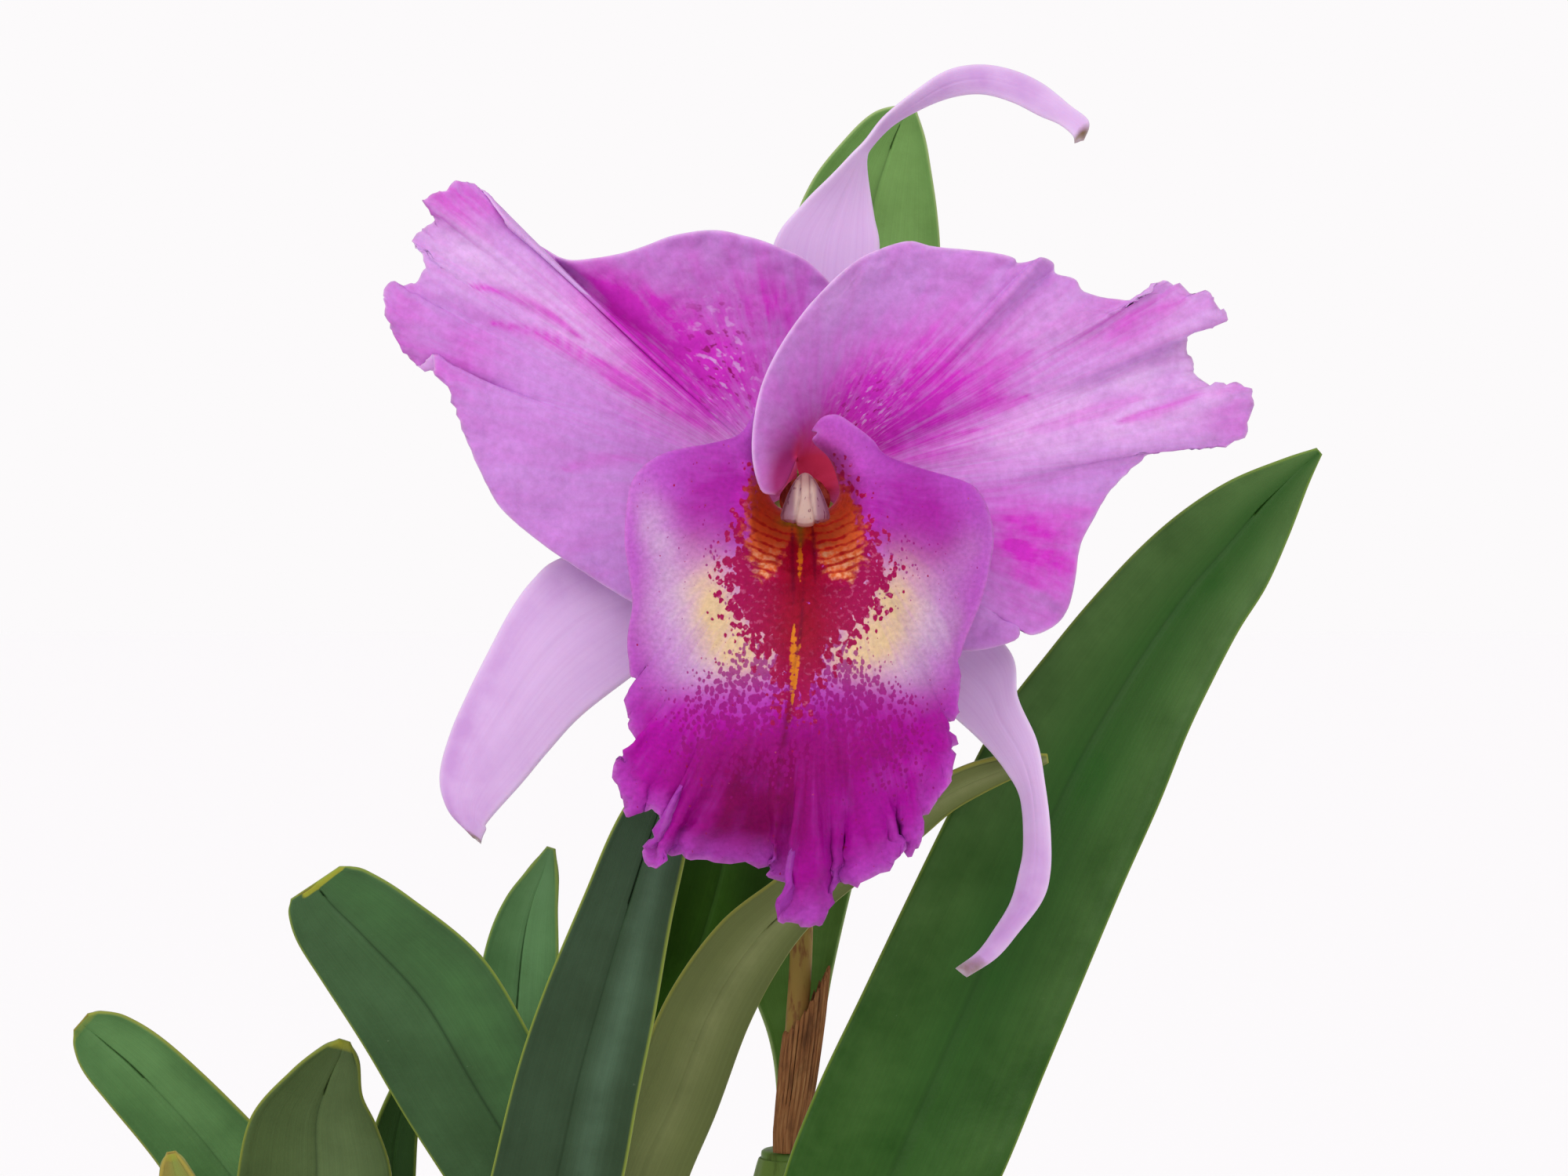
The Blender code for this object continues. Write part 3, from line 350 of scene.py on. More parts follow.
def sheet(name, places, thickness, rim, material, flat, layers=None):
    """A closed sheet round a grid of places in millimetres. RIM is how wide its thinning rim is."""
    columns, rows = places.shape[:2]
    steps_out = np.linalg.norm(np.diff(places, axis=1), axis=2)
    out = np.concatenate([np.zeros((columns, 1)), np.cumsum(steps_out, axis=1)], axis=1)
    steps_round = np.linalg.norm(np.diff(places, axis=0), axis=2)
    side = np.concatenate([np.zeros((1, rows)), np.cumsum(steps_round, axis=0)], axis=0)
    to_rim = np.minimum(np.minimum(out, out[:, -1:] - out), np.minimum(side, side[-1:] - side))
    inside = np.clip(to_rim / rim, 0, 1)
    half = 0.5 * thickness * (RIM_SHARE + (1 - RIM_SHARE) * np.sqrt(1 - (1 - inside) ** 2))
    normal = np.cross(np.gradient(places, axis=0), np.gradient(places, axis=1))
    normal /= np.maximum(np.linalg.norm(normal, axis=2, keepdims=True), 1e-9)
    faces_of = [places + normal * half[..., None], places - normal * half[..., None]]
    points = np.concatenate([face.reshape(-1, 3) for face in faces_of]) * MM
    number = np.arange(columns * rows).reshape(columns, rows)
    quads = np.stack([number[:-1, :-1], number[1:, :-1], number[1:, 1:], number[:-1, 1:]], -1).reshape(-1, 4)
    border = np.concatenate([number[:-1, 0], number[-1, :-1], number[:0:-1, -1], number[0, :0:-1]])
    after = np.roll(border, -1)
    other = columns * rows
    wall = np.stack([after, border, border + other, after + other], -1)
    faces = np.concatenate([quads, quads[:, ::-1] + other, wall])
    layers = {**(layers or {}), "rim": 1 - np.clip(to_rim / (RIM_LAYER * rim), 0, 1)}
    for which, values in layers.items():
        layers[which] = np.tile(np.broadcast_to(values, (columns, rows)).ravel(), 2)
    layers["front"] = np.repeat([1, 0] if normal[..., 1].sum() < 0 else [0, 1], columns * rows)
    mesh = smooth_mesh(name, points, faces.tolist(), layers)
    corners = np.empty(len(mesh.loops), np.int32)
    mesh.loops.foreach_get("vertex_index", corners)
    maps = {"along": np.stack(shares((columns, rows)), -1), "flat": flat[..., :2] / FLAT_UNIT}
    for map_name, values in maps.items():
        doubled = np.tile(values.reshape(-1, 2), (2, 1))
        layer = mesh.uv_layers.new(name=map_name)
        layer.data.foreach_set("uv", doubled[corners].astype(np.float32).ravel())
    return link(name, mesh, material)

# %% [markdown]
# ## The petals
#
# Each petal grows from a narrow claw beside the column and fans out to a broad notched blade. Rings of
# points lead from the claw to the outline, each with its own depth, and a spline through the rings
# gives the surface. Folds that follow the veins are then pressed into the depth.

# %% The petals' outlines and depths
CLAW_RADIUS, CLAW_DEPTH, NECK_RADIUS = 4.0, 6.3, 7.5
PETAL_THICKNESS, PETAL_RIM = 0.7, 0.8
PETAL_RINGS = [0, 0.12, 0.5, 0.82, 1]
PETAL_GRID = (260, 76)

RIGHT_PETAL = [
    (-5.2, 1.2), (-8, 2.4), (-9.5, 9.5), (-8.5, 18.5), (-5.5, 26.5), (0.5, 35.5), (8.5, 43.5), (14, 46.5),
    (19.5, 48), (24, 47), (34, 46), (38.5, 45), (39.5, 44), (42.5, 44.5), (44, 45), (46, 44),
    (46.5, 42), (50, 41), (52, 38.5), (60, 37), (63.5, 38.5), (65.5, 40.5), (68.5, 40), (72, 38.5),
    (75, 38.5), (77, 35.5), (77.5, 33.5), (74.5, 32.5), (70.5, 30.5), (71, 26.5), (72, 24), (75, 21),
    (79.5, 22), (82.5, 20.5), (82.5, 16), (81.5, 12.5), (77.5, 10.5), (69.5, 10.5), (65, 9.5),
    (61.5, 7), (56.5, 2), (53.5, -3), (51, -8), (50, -14.5), (48.5, -20), (46, -23), (42.5, -24.5),
    (40.5, -24), (39.5, -22.5), (39, -25.5), (29.5, -27.5), (24, -23),
]
LEFT_PETAL = [
    (5.5, 32), (6, 36), (5, 40), (0.5, 44.5), (-6, 47.5), (-11, 49), (-16.5, 50), (-24, 49),
    (-32.5, 46), (-41.5, 44.5), (-45, 45), (-47.5, 46.5), (-54, 50.5), (-55.5, 52.5), (-58.5, 56.5),
    (-60, 58), (-62.5, 59), (-65, 58.5), (-67.5, 57), (-70, 56), (-68.5, 53.5), (-68.5, 51.5),
    (-71, 49.5), (-72, 48), (-71, 46.5), (-70, 45), (-70, 42.5), (-72, 40.5), (-75, 39.5), (-76, 40.5),
    (-77.5, 38), (-76.5, 33), (-74.5, 29), (-71.5, 25.5), (-70, 25.5), (-68.5, 27), (-67.5, 23.5),
    (-65, 19.5), (-62.5, 12.5), (-59, 4.5), (-55.5, -1.5), (-48.5, -7.5), (-42, -12), (-32.5, -18),
    (-25.5, -21), (-18, -19),
]
RIGHT_DEPTHS = {
    "neck": 1.5,
    "half": [-14, -6, -8, -8, -7, -7, -10, -12, -12],
    "near": [-24, -11, -10, -7, -2, -2, -7, -12, -13],
    "edge": [-27, -14, -9, -3, 3, 2, -4, -8, -12],
}
LEFT_DEPTHS = {
    "neck": 4.8,
    "half": [3, 5, 4, -1, -2, -2, -4, -4, -4],
    "near": [3, 2, 3, 1, 0, 0, -2, -4, -5],
    "edge": [2, -2, 2, 4, 4, 3, 1, -3, -4],
}
LOBE_RISE = [(2.0, 5.2), (2.0, 2.4)]
LOBE_SHARE = 0.12
CRINKLE, CRINKLE_SIZE, CRINKLE_FROM = 0.9, 2.2, (52, 66)


# %% From rings to a petal's surface
def ring(flat, depth):
    """Points x, z and depth from flat points and one depth or a list of them at even steps."""
    if np.ndim(depth):
        depth = spline(depth, np.linspace(0, 1, len(flat)))
    return np.column_stack([flat, np.broadcast_to(depth, len(flat))])


def softened(outline, reach=3):
    padded = np.pad(outline, ((reach, reach), (0, 0)), "edge")
    return np.mean([padded[at : at + len(outline)] for at in range(2 * reach + 1)], axis=0)


def fan(rings, knots, grid):
    """A fine grid of points x, z and depth that spreads from the first ring to the last."""
    columns, rows = grid
    at = np.interp(np.linspace(0, 1, rows), knots, np.linspace(0, 1, len(knots)))
    return spline(np.moveaxis(spline(rings, at), 0, 1), np.linspace(0, 1, columns))


def petal_form(outline, claw_angles, depths, lobe_rise):
    outline = np.array(outline, float)
    share = np.linspace(0, 1, len(outline))[:, None]
    angle = np.radians(claw_angles[0] + (claw_angles[1] - claw_angles[0]) * share)
    claw = CLAW_RADIUS * np.hstack([np.cos(angle), np.sin(angle)])
    lobes = [np.clip(1 - share / LOBE_SHARE, 0, 1) ** 1.5 * np.array(raised) for raised in lobe_rise]
    halfway = PETAL_RINGS[2] * softened(outline) + lobes[0]
    neck = halfway / np.linalg.norm(halfway, axis=1, keepdims=True) + claw / CLAW_RADIUS
    neck *= NECK_RADIUS / np.linalg.norm(neck, axis=1, keepdims=True)
    rings = [
        ring(claw, CLAW_DEPTH),
        ring(neck, depths["neck"]),
        ring(halfway, depths["half"]),
        ring(PETAL_RINGS[3] * softened(outline, 1) + lobes[1], depths["near"]),
        ring(outline, depths["edge"]),
    ]
    return fan(np.array(rings), PETAL_RINGS, PETAL_GRID)


def pressed(form, folds, ruffle, seed):
    """The form with folds along its growth and a fine ruffle at its rim, both in its depth."""
    round_it, out = shares(form.shape)
    form = form.copy()
    for middle, width, depth, start, end in folds:
        form[..., 2] += depth * hill(round_it, middle, width) * rise(out, start, end)
    swell = wander(form[..., :2], 13, seed)
    ripple = wander(form[..., :2], 4.5, seed + 5)
    form[..., 2] += rise(out, 0.25, 0.7) * (0.9 * swell) + rise(out, 0.7, 1) * ruffle * ripple
    far = rise(np.abs(form[..., 0]), *CRINKLE_FROM) * rise(out, 0.88, 1)
    for axis in (0, 1):
        form[..., axis] += CRINKLE * far * wander(form[..., :2], CRINKLE_SIZE, seed + 20 + axis)
    return form


# %% [markdown]
# The photo shows where each petal bends: the right one has a raised pleat near its top notch and a
# rolled tip, the left one a long crease from the claw to its tip with a hollow above it.

# %% The folds of each petal
# Each fold: where it lies round the outline, its width, its height to the back, where it starts and ends
RIGHT_FOLDS = [
    (0.272, 0.010, -2.2, 0.45, 0.95), (0.300, 0.014, 1.6, 0.5, 0.95), (0.355, 0.02, -1.0, 0.6, 1),
    (0.43, 0.02, 1.4, 0.6, 1), (0.50, 0.025, -1.6, 0.55, 1), (0.565, 0.03, 1.4, 0.5, 1),
    (0.64, 0.02, -1.5, 0.7, 1), (0.70, 0.02, 1.2, 0.7, 1), (0.80, 0.03, -1.2, 0.5, 1),
    (0.88, 0.02, 1.4, 0.6, 1), (0.62, 0.06, -1.4, 0.1, 0.5), (0.78, 0.05, 1.4, 0.2, 0.6),
]
LEFT_FOLDS = [
    (0.285, 0.022, -3.2, 0.12, 0.6), (0.235, 0.03, 2.4, 0.2, 0.6), (0.42, 0.016, -1.2, 0.5, 1),
    (0.50, 0.02, 1.4, 0.4, 1), (0.575, 0.018, -1.1, 0.6, 1), (0.63, 0.02, 1.0, 0.6, 1),
    (0.68, 0.02, -1.2, 0.7, 1), (0.735, 0.02, 1.2, 0.5, 1), (0.80, 0.05, -1.2, 0.4, 1),
    (0.10, 0.03, -0.8, 0.4, 1), (0.15, 0.03, 0.9, 0.4, 1),
]
right_form = pressed(petal_form(RIGHT_PETAL, (98, 10), RIGHT_DEPTHS, LOBE_RISE), RIGHT_FOLDS, 1.1, 3)
left_form = pressed(petal_form(LEFT_PETAL, (110, 170), LEFT_DEPTHS, [(0, 0), (0, 0)]), LEFT_FOLDS, 1.0, 9)
print("petal grid", PETAL_GRID, "deepest fold", max(abs(fold[2]) for fold in RIGHT_FOLDS + LEFT_FOLDS), "mm")

# %% [markdown]
# ## Where the petals' colour lies
#
# The magenta pigment gathers beside the midrib and in strokes along the veins, and it fades towards
# the rim. Layers of numbers hold these zones, as soft patches and brush lines measured in millimetres
# from the flower's middle, and the material turns them into colour.

# %% Pigment of the petals
right_flat, left_flat = right_form[..., :2], left_form[..., :2]
petal_out = np.linspace(0, 1, PETAL_GRID[1])
right_layers = {
    "magenta": marks(right_flat, [
        (0.95, (17, 17), (18, 11), 25), (0.2, (28, 27), (20, 12), 10), (0.5, (38, -5), (13, 8), -12),
        (0.5, (44, -13), (9, 10)), (0.15, (3, 12), (8, 13), 30), (0.5, (60, 33), (10, 4), 20),
        (0.25, (79, 16), (5, 6)),
    ]),
    "stroke": marks(right_flat, [
        (0.8, [(33, 20), (37, 24.5), (41.5, 27.5)], 2.0), (1, [(27, 15.5), (33, 17.5), (41, 19.5)], 1.9),
        (0.8, [(14, 9), (22, 11), (33, 13.5)], 0.9), (0.7, [(17, 7), (25, 8.5), (34, 10)], 0.8),
        (0.8, [(58, 14.5), (66, 17), (73, 20)], 1.2), (0.5, [(42, 13), (52, 15.5), (62, 19)], 1.6),
        (0.5, [(56, 30), (61, 33), (70, 37)], 1.8), (0.6, [(34, -3), (44, -3.5), (53, -2)], 2.2),
    ]),
    "pale": marks(right_flat, [
        (1, (38, 12), (26, 6), 14), (0.9, (62, 18), (18, 7), 18), (0.6, (46, 31), (18, 9), 15),
        (0.8, (72, 28), (9, 13)), (0.35, (4, 40), (10, 6), 45),
    ]),
    "fleck": patch(right_flat, (11, 16), (9, 5), 52),
    # The claw's wine red is brightened as painted light, and the lobe's blush is darkened as painted shade
    "claw": marks(right_flat, [(1.3, (2, 5), (8, 7))]) * rise(-petal_out, -0.62, -0.45),
    "blush": np.clip(1.3 * patch(right_flat, (-2.6, 3.8), (4.6, 8.5)) * rise(petal_out, 0.3, 0.45), 0, 0.95),
}
left_layers = {
    "magenta": marks(left_flat, [
        (1, (-21, 24), (14, 9), -42), (0.8, (-33, 36), (12, 5), -32), (0.5, (-14, 38), (18, 8), -5),
        (0.3, (-4, 28), (8, 14)), (0.55, (-64, 55), (9, 4), -20), (0.35, (-64, 26), (9, 6), 30),
        (0.3, (-74, 33), (4, 8)),
    ]),
    "stroke": marks(left_flat, [
        (1, [(-61, 39.5), (-54, 38), (-47, 34.5), (-41, 30)], 1.1),
        (1, [(-57, 33), (-48, 30.5), (-36, 24), (-24, 17), (-17, 13)], 1.5),
        (0.8, [(-38, 26), (-34, 22.5), (-28, 19)], 1.6), (0.7, [(-30, 28), (-22, 20), (-17, 15)], 0.8),
        (0.7, [(-26, 25), (-19, 17.5), (-15, 14)], 0.7), (0.6, [(-20, 24), (-14, 16), (-12, 14.5)], 0.9),
        (0.15, [(-34, 16), (-25, 12), (-15, 9)], 1.6), (0.4, [(-44, 6), (-36, 8), (-28, 8)], 1.4),
    ]),
    "pale": marks(left_flat, [
        (1, (-47, 37), (26, 6.5), -33), (0.8, (-28, 20), (20, 4.5), -40), (0.5, (-66, 45), (8, 8)),
        (0.8, (-14, 10.5), (6, 4)),
    ]),
    "fleck": patch(left_flat, (-15, 26), (6, 12), 12),
    # The claw's wine red is brightened as painted light against the shade beside the column
    "claw": patch(left_flat, (0, 3), (7, 7)),
    "blush": np.zeros_like(left_flat[..., 0]),
}

# %% [markdown]
# ## Petal skin
#
# A cattleya petal is a thin sheet of crystalline cells: lilac, softly shining and a little see-through.
# Fine veins run out from the claw, so their pattern reads the "along" map, stretched so that one vein
# is about a millimetre wide. Light that scatters under the surface gives the soft glow of a petal.

# %% The petals' material
VEINS_ROUND = 70.0
PETAL_ROUGHNESS = 0.55
PETAL_GLOW, PETAL_IOR = (0.12, 0.0015), 1.4


def petal_skin(name, lilac, pale, magenta, deep):
    material, put, shader = skin(name, PETAL_ROUGHNESS, PETAL_GLOW, IOR=PETAL_IOR)
    along, flat, layer = read_maps(put, "magenta", "stroke", "pale", "fleck", "claw", "blush")
    vein_place = put("stretch", along, (VEINS_ROUND, 3, 1))
    vein = put("noise", vein_place, Scale=1, Detail=3, Roughness=0.6)
    cloud = put("noise", flat, Scale=14, Detail=6, Roughness=0.65)
    grain = put("noise", flat, Scale=60, Detail=4, Roughness=0.65)
    # Pigment: the zones, made uneven by clouds and drawn out along the veins
    uneven = put("ADD", cloud, vein)
    uneven = put("range", uneven, 0.75, 1.25, 0.55, 1.35)
    zone = put("MULTIPLY", layer["magenta"], uneven, use_clamp=True)
    thread = put("range", vein, 0.38, 0.62, 0, 0.16)
    veined = put("ADD", zone, thread, use_clamp=True)
    lighter = put("MULTIPLY", layer["pale"], cloud, use_clamp=True)
    lighter = put("MULTIPLY", lighter, 1.5, use_clamp=True)
    coloured = put("mix", lighter, lilac, pale)
    coloured = put("mix", veined, coloured, magenta)
    brushed = put("MULTIPLY", layer["stroke"], uneven, use_clamp=True)
    brushed = put("MULTIPLY", brushed, 0.75)
    coloured = put("mix", brushed, coloured, magenta)
    fleck_place = put("stretch", along, (90, 26, 1))
    spots = put("noise", fleck_place, Scale=1, Detail=2)
    dark = put("range", spots, 0.60, 0.66)
    dark = put("MULTIPLY", dark, layer["fleck"], use_clamp=True)
    light = put("range", spots, 0.42, 0.34)
    light = put("MULTIPLY", light, layer["fleck"], use_clamp=True)
    light = put("MULTIPLY", light, 0.8)
    coloured = put("mix", dark, coloured, deep)
    coloured = put("mix", light, coloured, pale)
    grained = put("range", grain, 0.3, 0.7, 0.88, 1.1)
    coloured = put("tint", 1, coloured, grained)
    edge = put("POWER", layer["rim"], 10)
    edge = put("MULTIPLY", edge, 0.4)
    coloured = put("mix", edge, coloured, "F2DDF6")
    # The back is paler, without the strokes
    behind = put("mix", 0.55, coloured, pale)
    coloured = put("mix", layer["front"], behind, coloured)
    # The petal is wine red beside the column: on its claw, and on the lobe that hangs over the cap.
    # The lobe's red is darkened as painted shade, and the claw's is brightened as painted light against the
    # shade beside the column.
    coloured = put("mix", layer["blush"], coloured, "8C1C58")
    coloured = put("mix", layer["claw"], coloured, "D63C62")
    relief = put("ADD", vein, grain)
    paint(shader, coloured, put("bump", relief, 0.35, 0.0002))
    return material


petal_lilac = petal_skin("cattleya petal, lilac", "C186D0", "D7AEE1", "C82EBC", "8C1560")

for node, form, layers in (
    ("right_petal", right_form, right_layers), ("left_petal", left_form, left_layers),
):
    piece = sheet(
        node + "_skin", on_flower(form), PETAL_THICKNESS, PETAL_RIM, petal_lilac, form[..., :2], layers
    )
    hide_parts(node)
    print(piece.name, len(piece.data.polygons), "faces")

# %% [markdown]
# ## The sepals
#
# The three narrow outer petals are straps between a left and a right edge. The upper one twists as it
# arches over to the right, and the lower right one hangs down like a ribbon. A grid of points between
# the two edges, which sags a little in its middle, follows such a strap better than a flat outline.

# %% The sepals' edges
DORSAL_SEPAL = [
    ((-2, 5.9, 8.5), (2, 5.9, 8.5)), ((-6, 20, 9), (8, 20, 9)), ((-7, 34.5, 9.5), (13, 34.5, 9.5)),
    ((-5.5, 47.5, 9), (14, 46.5, 11)), ((-0.5, 54.5, 8), (13, 52.5, 12)), ((5, 60, 6), (12, 58.5, 13)),
    ((9, 64, 5), (11.5, 63, 14)), ((11.5, 66.5, 5), (12.5, 65.5, 14)), ((15, 71, 6), (16.5, 69.5, 13)),
    ((21, 76, 8), (22, 72.5, 12)), ((26.5, 79.5, 9), (27.5, 74.5, 11)), ((32.5, 80.5, 10), (33, 75, 10)),
    ((38.5, 79.5, 10), (38.5, 73.5, 9)), ((44, 77, 9), (43.5, 71, 8)), ((49, 73, 8), (47, 69.5, 7)),
    ((52.5, 70, 7), (49.5, 67.5, 6)), ((51.5, 66.5, 6), (50, 66, 6)),
]
LEFT_SEPAL = [
    ((-6, -1.8, 8.5), (-3.8, -5, 8.5)), ((-18, -3.5, 7), (-11, -15, 7)), ((-32.5, -7, 6), (-21, -24.5, 6)),
    ((-45, -10.5, 5), (-32, -32.5, 4.5)), ((-50, -14.5, 4), (-41, -39.5, 3.5)),
    ((-54, -20, 3.5), (-47, -46, 2.5)), ((-58, -27.5, 3), (-52, -52, 1.5)),
    ((-61.5, -34.5, 2.5), (-56.5, -57, 1)), ((-65, -42.5, 2), (-58.5, -59.5, 1)),
    ((-67, -50.5, 2), (-58.5, -60.5, 1.5)), ((-65.5, -56.5, 2), (-59, -61.5, 2)),
    ((-61, -61, 3), (-59.5, -63, 3)),
]
RIGHT_SEPAL = [
    ((3.8, -5, 8.5), (6, -1.8, 8.5)), ((9.5, -17.5, 7), (15, -7, 7)), ((16.5, -30.5, 4), (27.5, -17.5, 3)),
    ((27.5, -39.5, 1), (38, -27.5, 0)), ((33.5, -45, -1), (39.5, -36, -3)),
    ((37.5, -50, -3), (43, -44, -5)), ((40, -55, -4), (44.5, -52, -7)),
    ((40.5, -63.5, -5), (45.5, -60.5, -8)), ((39.5, -69, -6), (45.5, -68, -8)),
    ((38, -74, -6), (44, -73.5, -8)), ((35, -79, -6), (39.5, -79.5, -8)), ((32, -83, -6), (35.5, -84, -7)),
    ((28, -86, -6), (30, -87.5, -6)),
]
SEPAL_THICKNESS = 0.85
SEPAL_GRID = (150, 28)
SEPAL_GROOVE, SEPAL_GROOVE_WIDTH = 0.35, 0.08


# %% A strap between two edges
def ladder(left, right, grid, sag):
    """A grid of places between a left and a right edge. Its middle sags back by one number or by a list."""
    along, across = grid
    at = np.linspace(0, 1, along)
    left, right = spline(left, at), spline(right, at)
    sag = spline(sag, at) if np.ndim(sag) else np.full(along, sag)
    side = np.linspace(0, 1, across)[None, :, None]
    places = (1 - side) * left[:, None] + side * right[:, None]
    places[..., 1] += sag[:, None] * (1 - np.abs(2 * side[..., 0] - 1) ** 1.5)
    return places


def front_view(places):
    """Where places in space are seen from the front, measured from the flower's middle."""
    nearness = 1 + places[..., 1] / VIEW_DISTANCE
    x = EYE_X + (places[..., 0] - EYE_X) / nearness - FLOWER_X
    z = EYE_Z + (places[..., 2] - EYE_Z) / nearness - FLOWER_Z
    return np.stack([x, z], -1)


def sepal_places(rows, sag):
    left = on_flower([row[0] for row in rows])
    right = on_flower([row[1] for row in rows])
    places = ladder(left, right, SEPAL_GRID, sag)
    up, side = shares(SEPAL_GRID, -1)
    places[..., 1] += SEPAL_GROOVE * hill(side, 0, SEPAL_GROOVE_WIDTH) * rise(up, 0, 0.2) * (1 - up)
    return places


# %% [markdown]
# Sepal skin is the petals' in a paler, greyer lilac, with long faint veins and a brown, drying tip. A
# strap's "along" map runs from base to tip and from side to side, so veins are lines of one side value.

# %% The sepals' material and pieces
def sepal_skin(name, pale, vein_colour, painted_shade_colour, tip_colour):
    material, put, shader = skin(name, PETAL_ROUGHNESS, PETAL_GLOW, IOR=PETAL_IOR)
    along, flat, layer = read_maps(put, "tip", "shade")
    place = put("stretch", along, (2.5, 26, 1))
    vein = put("noise", place, Scale=1, Detail=3, Roughness=0.55)
    thread = put("range", vein, 0.4, 0.7, 0, 0.6)
    cloud = put("noise", flat, Scale=16, Detail=5)
    grain = put("noise", flat, Scale=90, Detail=3)
    coloured = put("mix", thread, pale, vein_colour)
    # Painted shade: darker where the sepal lies in shadow
    shaded = put("MULTIPLY", layer["shade"], cloud, use_clamp=True)
    shaded = put("MULTIPLY", shaded, 1.6, use_clamp=True)
    coloured = put("mix", shaded, coloured, painted_shade_colour)
    dry = put("ADD", layer["tip"], cloud)
    dry = put("range", dry, 1.1, 1.45)
    coloured = put("mix", dry, coloured, tip_colour)
    edge = put("POWER", layer["rim"], 5)
    edge = put("MULTIPLY", edge, 0.5)
    coloured = put("mix", edge, coloured, "F0E2F6")
    relief = put("ADD", vein, grain)
    paint(shader, coloured, put("bump", relief, 0.25, 0.0002))
    return material


SEPAL_RIM = 1.0

sepal_lilac = sepal_skin("cattleya sepal, pale lilac", "DABAE4", "D2AADC", "C294CE", "6E5230")
up, side = shares(SEPAL_GRID, -1)
# Each sepal's edges, how far its middle sags, and where painted shade darkens it
SEPALS = {
    "dorsal_sepal": (DORSAL_SEPAL, -0.6, 0.9 * rise(up, 0.38, 0.46) * (1 - 0.6 * rise(up, 0.7, 0.95))),
    "left_lateral_sepal": (
        LEFT_SEPAL, -1.2,
        0.8 * rise(up, 0.3, 0.8) + 0.45 * hill(side, -0.7, 0.3) + 0.5 * rise(-up, -0.45, -0.15),
    ),
    "right_lateral_sepal": (RIGHT_SEPAL, -0.8, 1.1 * rise(up, 0.4, 0.75)),
}
for node, (rows, sag, shade) in SEPALS.items():
    places = sepal_places(rows, sag)
    layers = {"tip": rise(up, 0.86, 1.0), "shade": shade}
    piece = sheet(node + "_skin", places, SEPAL_THICKNESS, SEPAL_RIM, sepal_lilac, front_view(places), layers)
    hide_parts(node)
    print(piece.name, len(piece.data.polygons), "faces")

# %% [markdown]
# ## The lip
#
# The lip is the flower's third petal: a tube round the column that opens into a ruffled trumpet. Its
# rings are ovals in the tube and the measured outline at the rim. Ruffles are waves in depth that grow
# towards the rim, where the sheet has grown faster than the space for it.

# %% The lip's shape
LIP = [
    (-8.5, 18), (-11.5, 12.5), (-17.5, 10.5), (-21, 10), (-25.5, 9), (-29, 7), (-31.5, 4), (-32.5, 0),
    (-33, -7), (-32, -14.5), (-31.5, -19), (-32.5, -25.5), (-32, -31.5), (-31, -33), (-32.5, -35.5),
    (-32.5, -38.5), (-32, -41), (-31, -44), (-30, -47), (-32.5, -47.5), (-34.5, -48), (-34.5, -51.5),
    (-33, -55.5), (-32, -57.5), (-29.5, -57), (-26.5, -58), (-24.5, -62.5), (-27.5, -63.5),
    (-29.5, -64.5), (-28.5, -66.5), (-27, -67.5), (-25, -65), (-22.5, -65.5), (-18, -66), (-7, -67),
    (-5.5, -67.5), (-5.5, -69.5), (-0.5, -72), (-4.5, -76.5), (-3, -77.5), (1.5, -78), (4, -77),
    (6, -73), (5.5, -71), (7, -70), (9.5, -70.5), (16.5, -67), (18, -64.5), (17.5, -62), (19.5, -65.5),
    (22, -61.5), (22, -58.5), (25.5, -54), (27, -50.5), (28, -46), (28, -43.5), (26, -40.5),
    (28.5, -39.5), (28.5, -35.5), (29, -32.5), (28.5, -29.5), (30, -25), (33, -17.5), (34.5, -11),
    (35, -6), (34, -1.5), (32.5, 1.5), (30, 3.5), (21.5, 6), (15, 8.5), (12.5, 11.5), (8, 15), (6, 16),
    (3.5, 15.5), (1.5, 13),
]
LIP_MIDDLE = (0.5, -3)
LIP_TUBE = [
    ((200, 340), 3.9, 3.9, CLAW_DEPTH),
    ((180, 360), 5.2, 5.2, 1),
    ((155, 390), 7.5, 8, -8),
    ((135, 425), 10, 12, -17),
]
LIP_MOUTH = ((120, 445), 11.5, 14)
LIP_MOUTH_DEPTHS = [-17, -25, -31, -35, -37, -38, -37, -35, -31, -25, -19]
LIP_SPREAD_DEPTHS = [-19, -27, -32, -40, -44, -46, -44, -42, -33, -26, -21]
LIP_EDGE_DEPTHS = [-17, -24, -27, -33, -32, -30, -32, -35, -30, -22, -19]
LIP_RINGS = [0, 0.1, 0.2, 0.32, 0.45, 0.75, 1]
LIP_SPREAD = 0.55
LIP_BY_DIRECTION = 0.6
LIP_RUFFLES, LIP_RUFFLE_HEIGHT = 11, 2.2
LIP_THICKNESS, LIP_RIM = 0.7, 0.8
LIP_GRID = (340, 90)


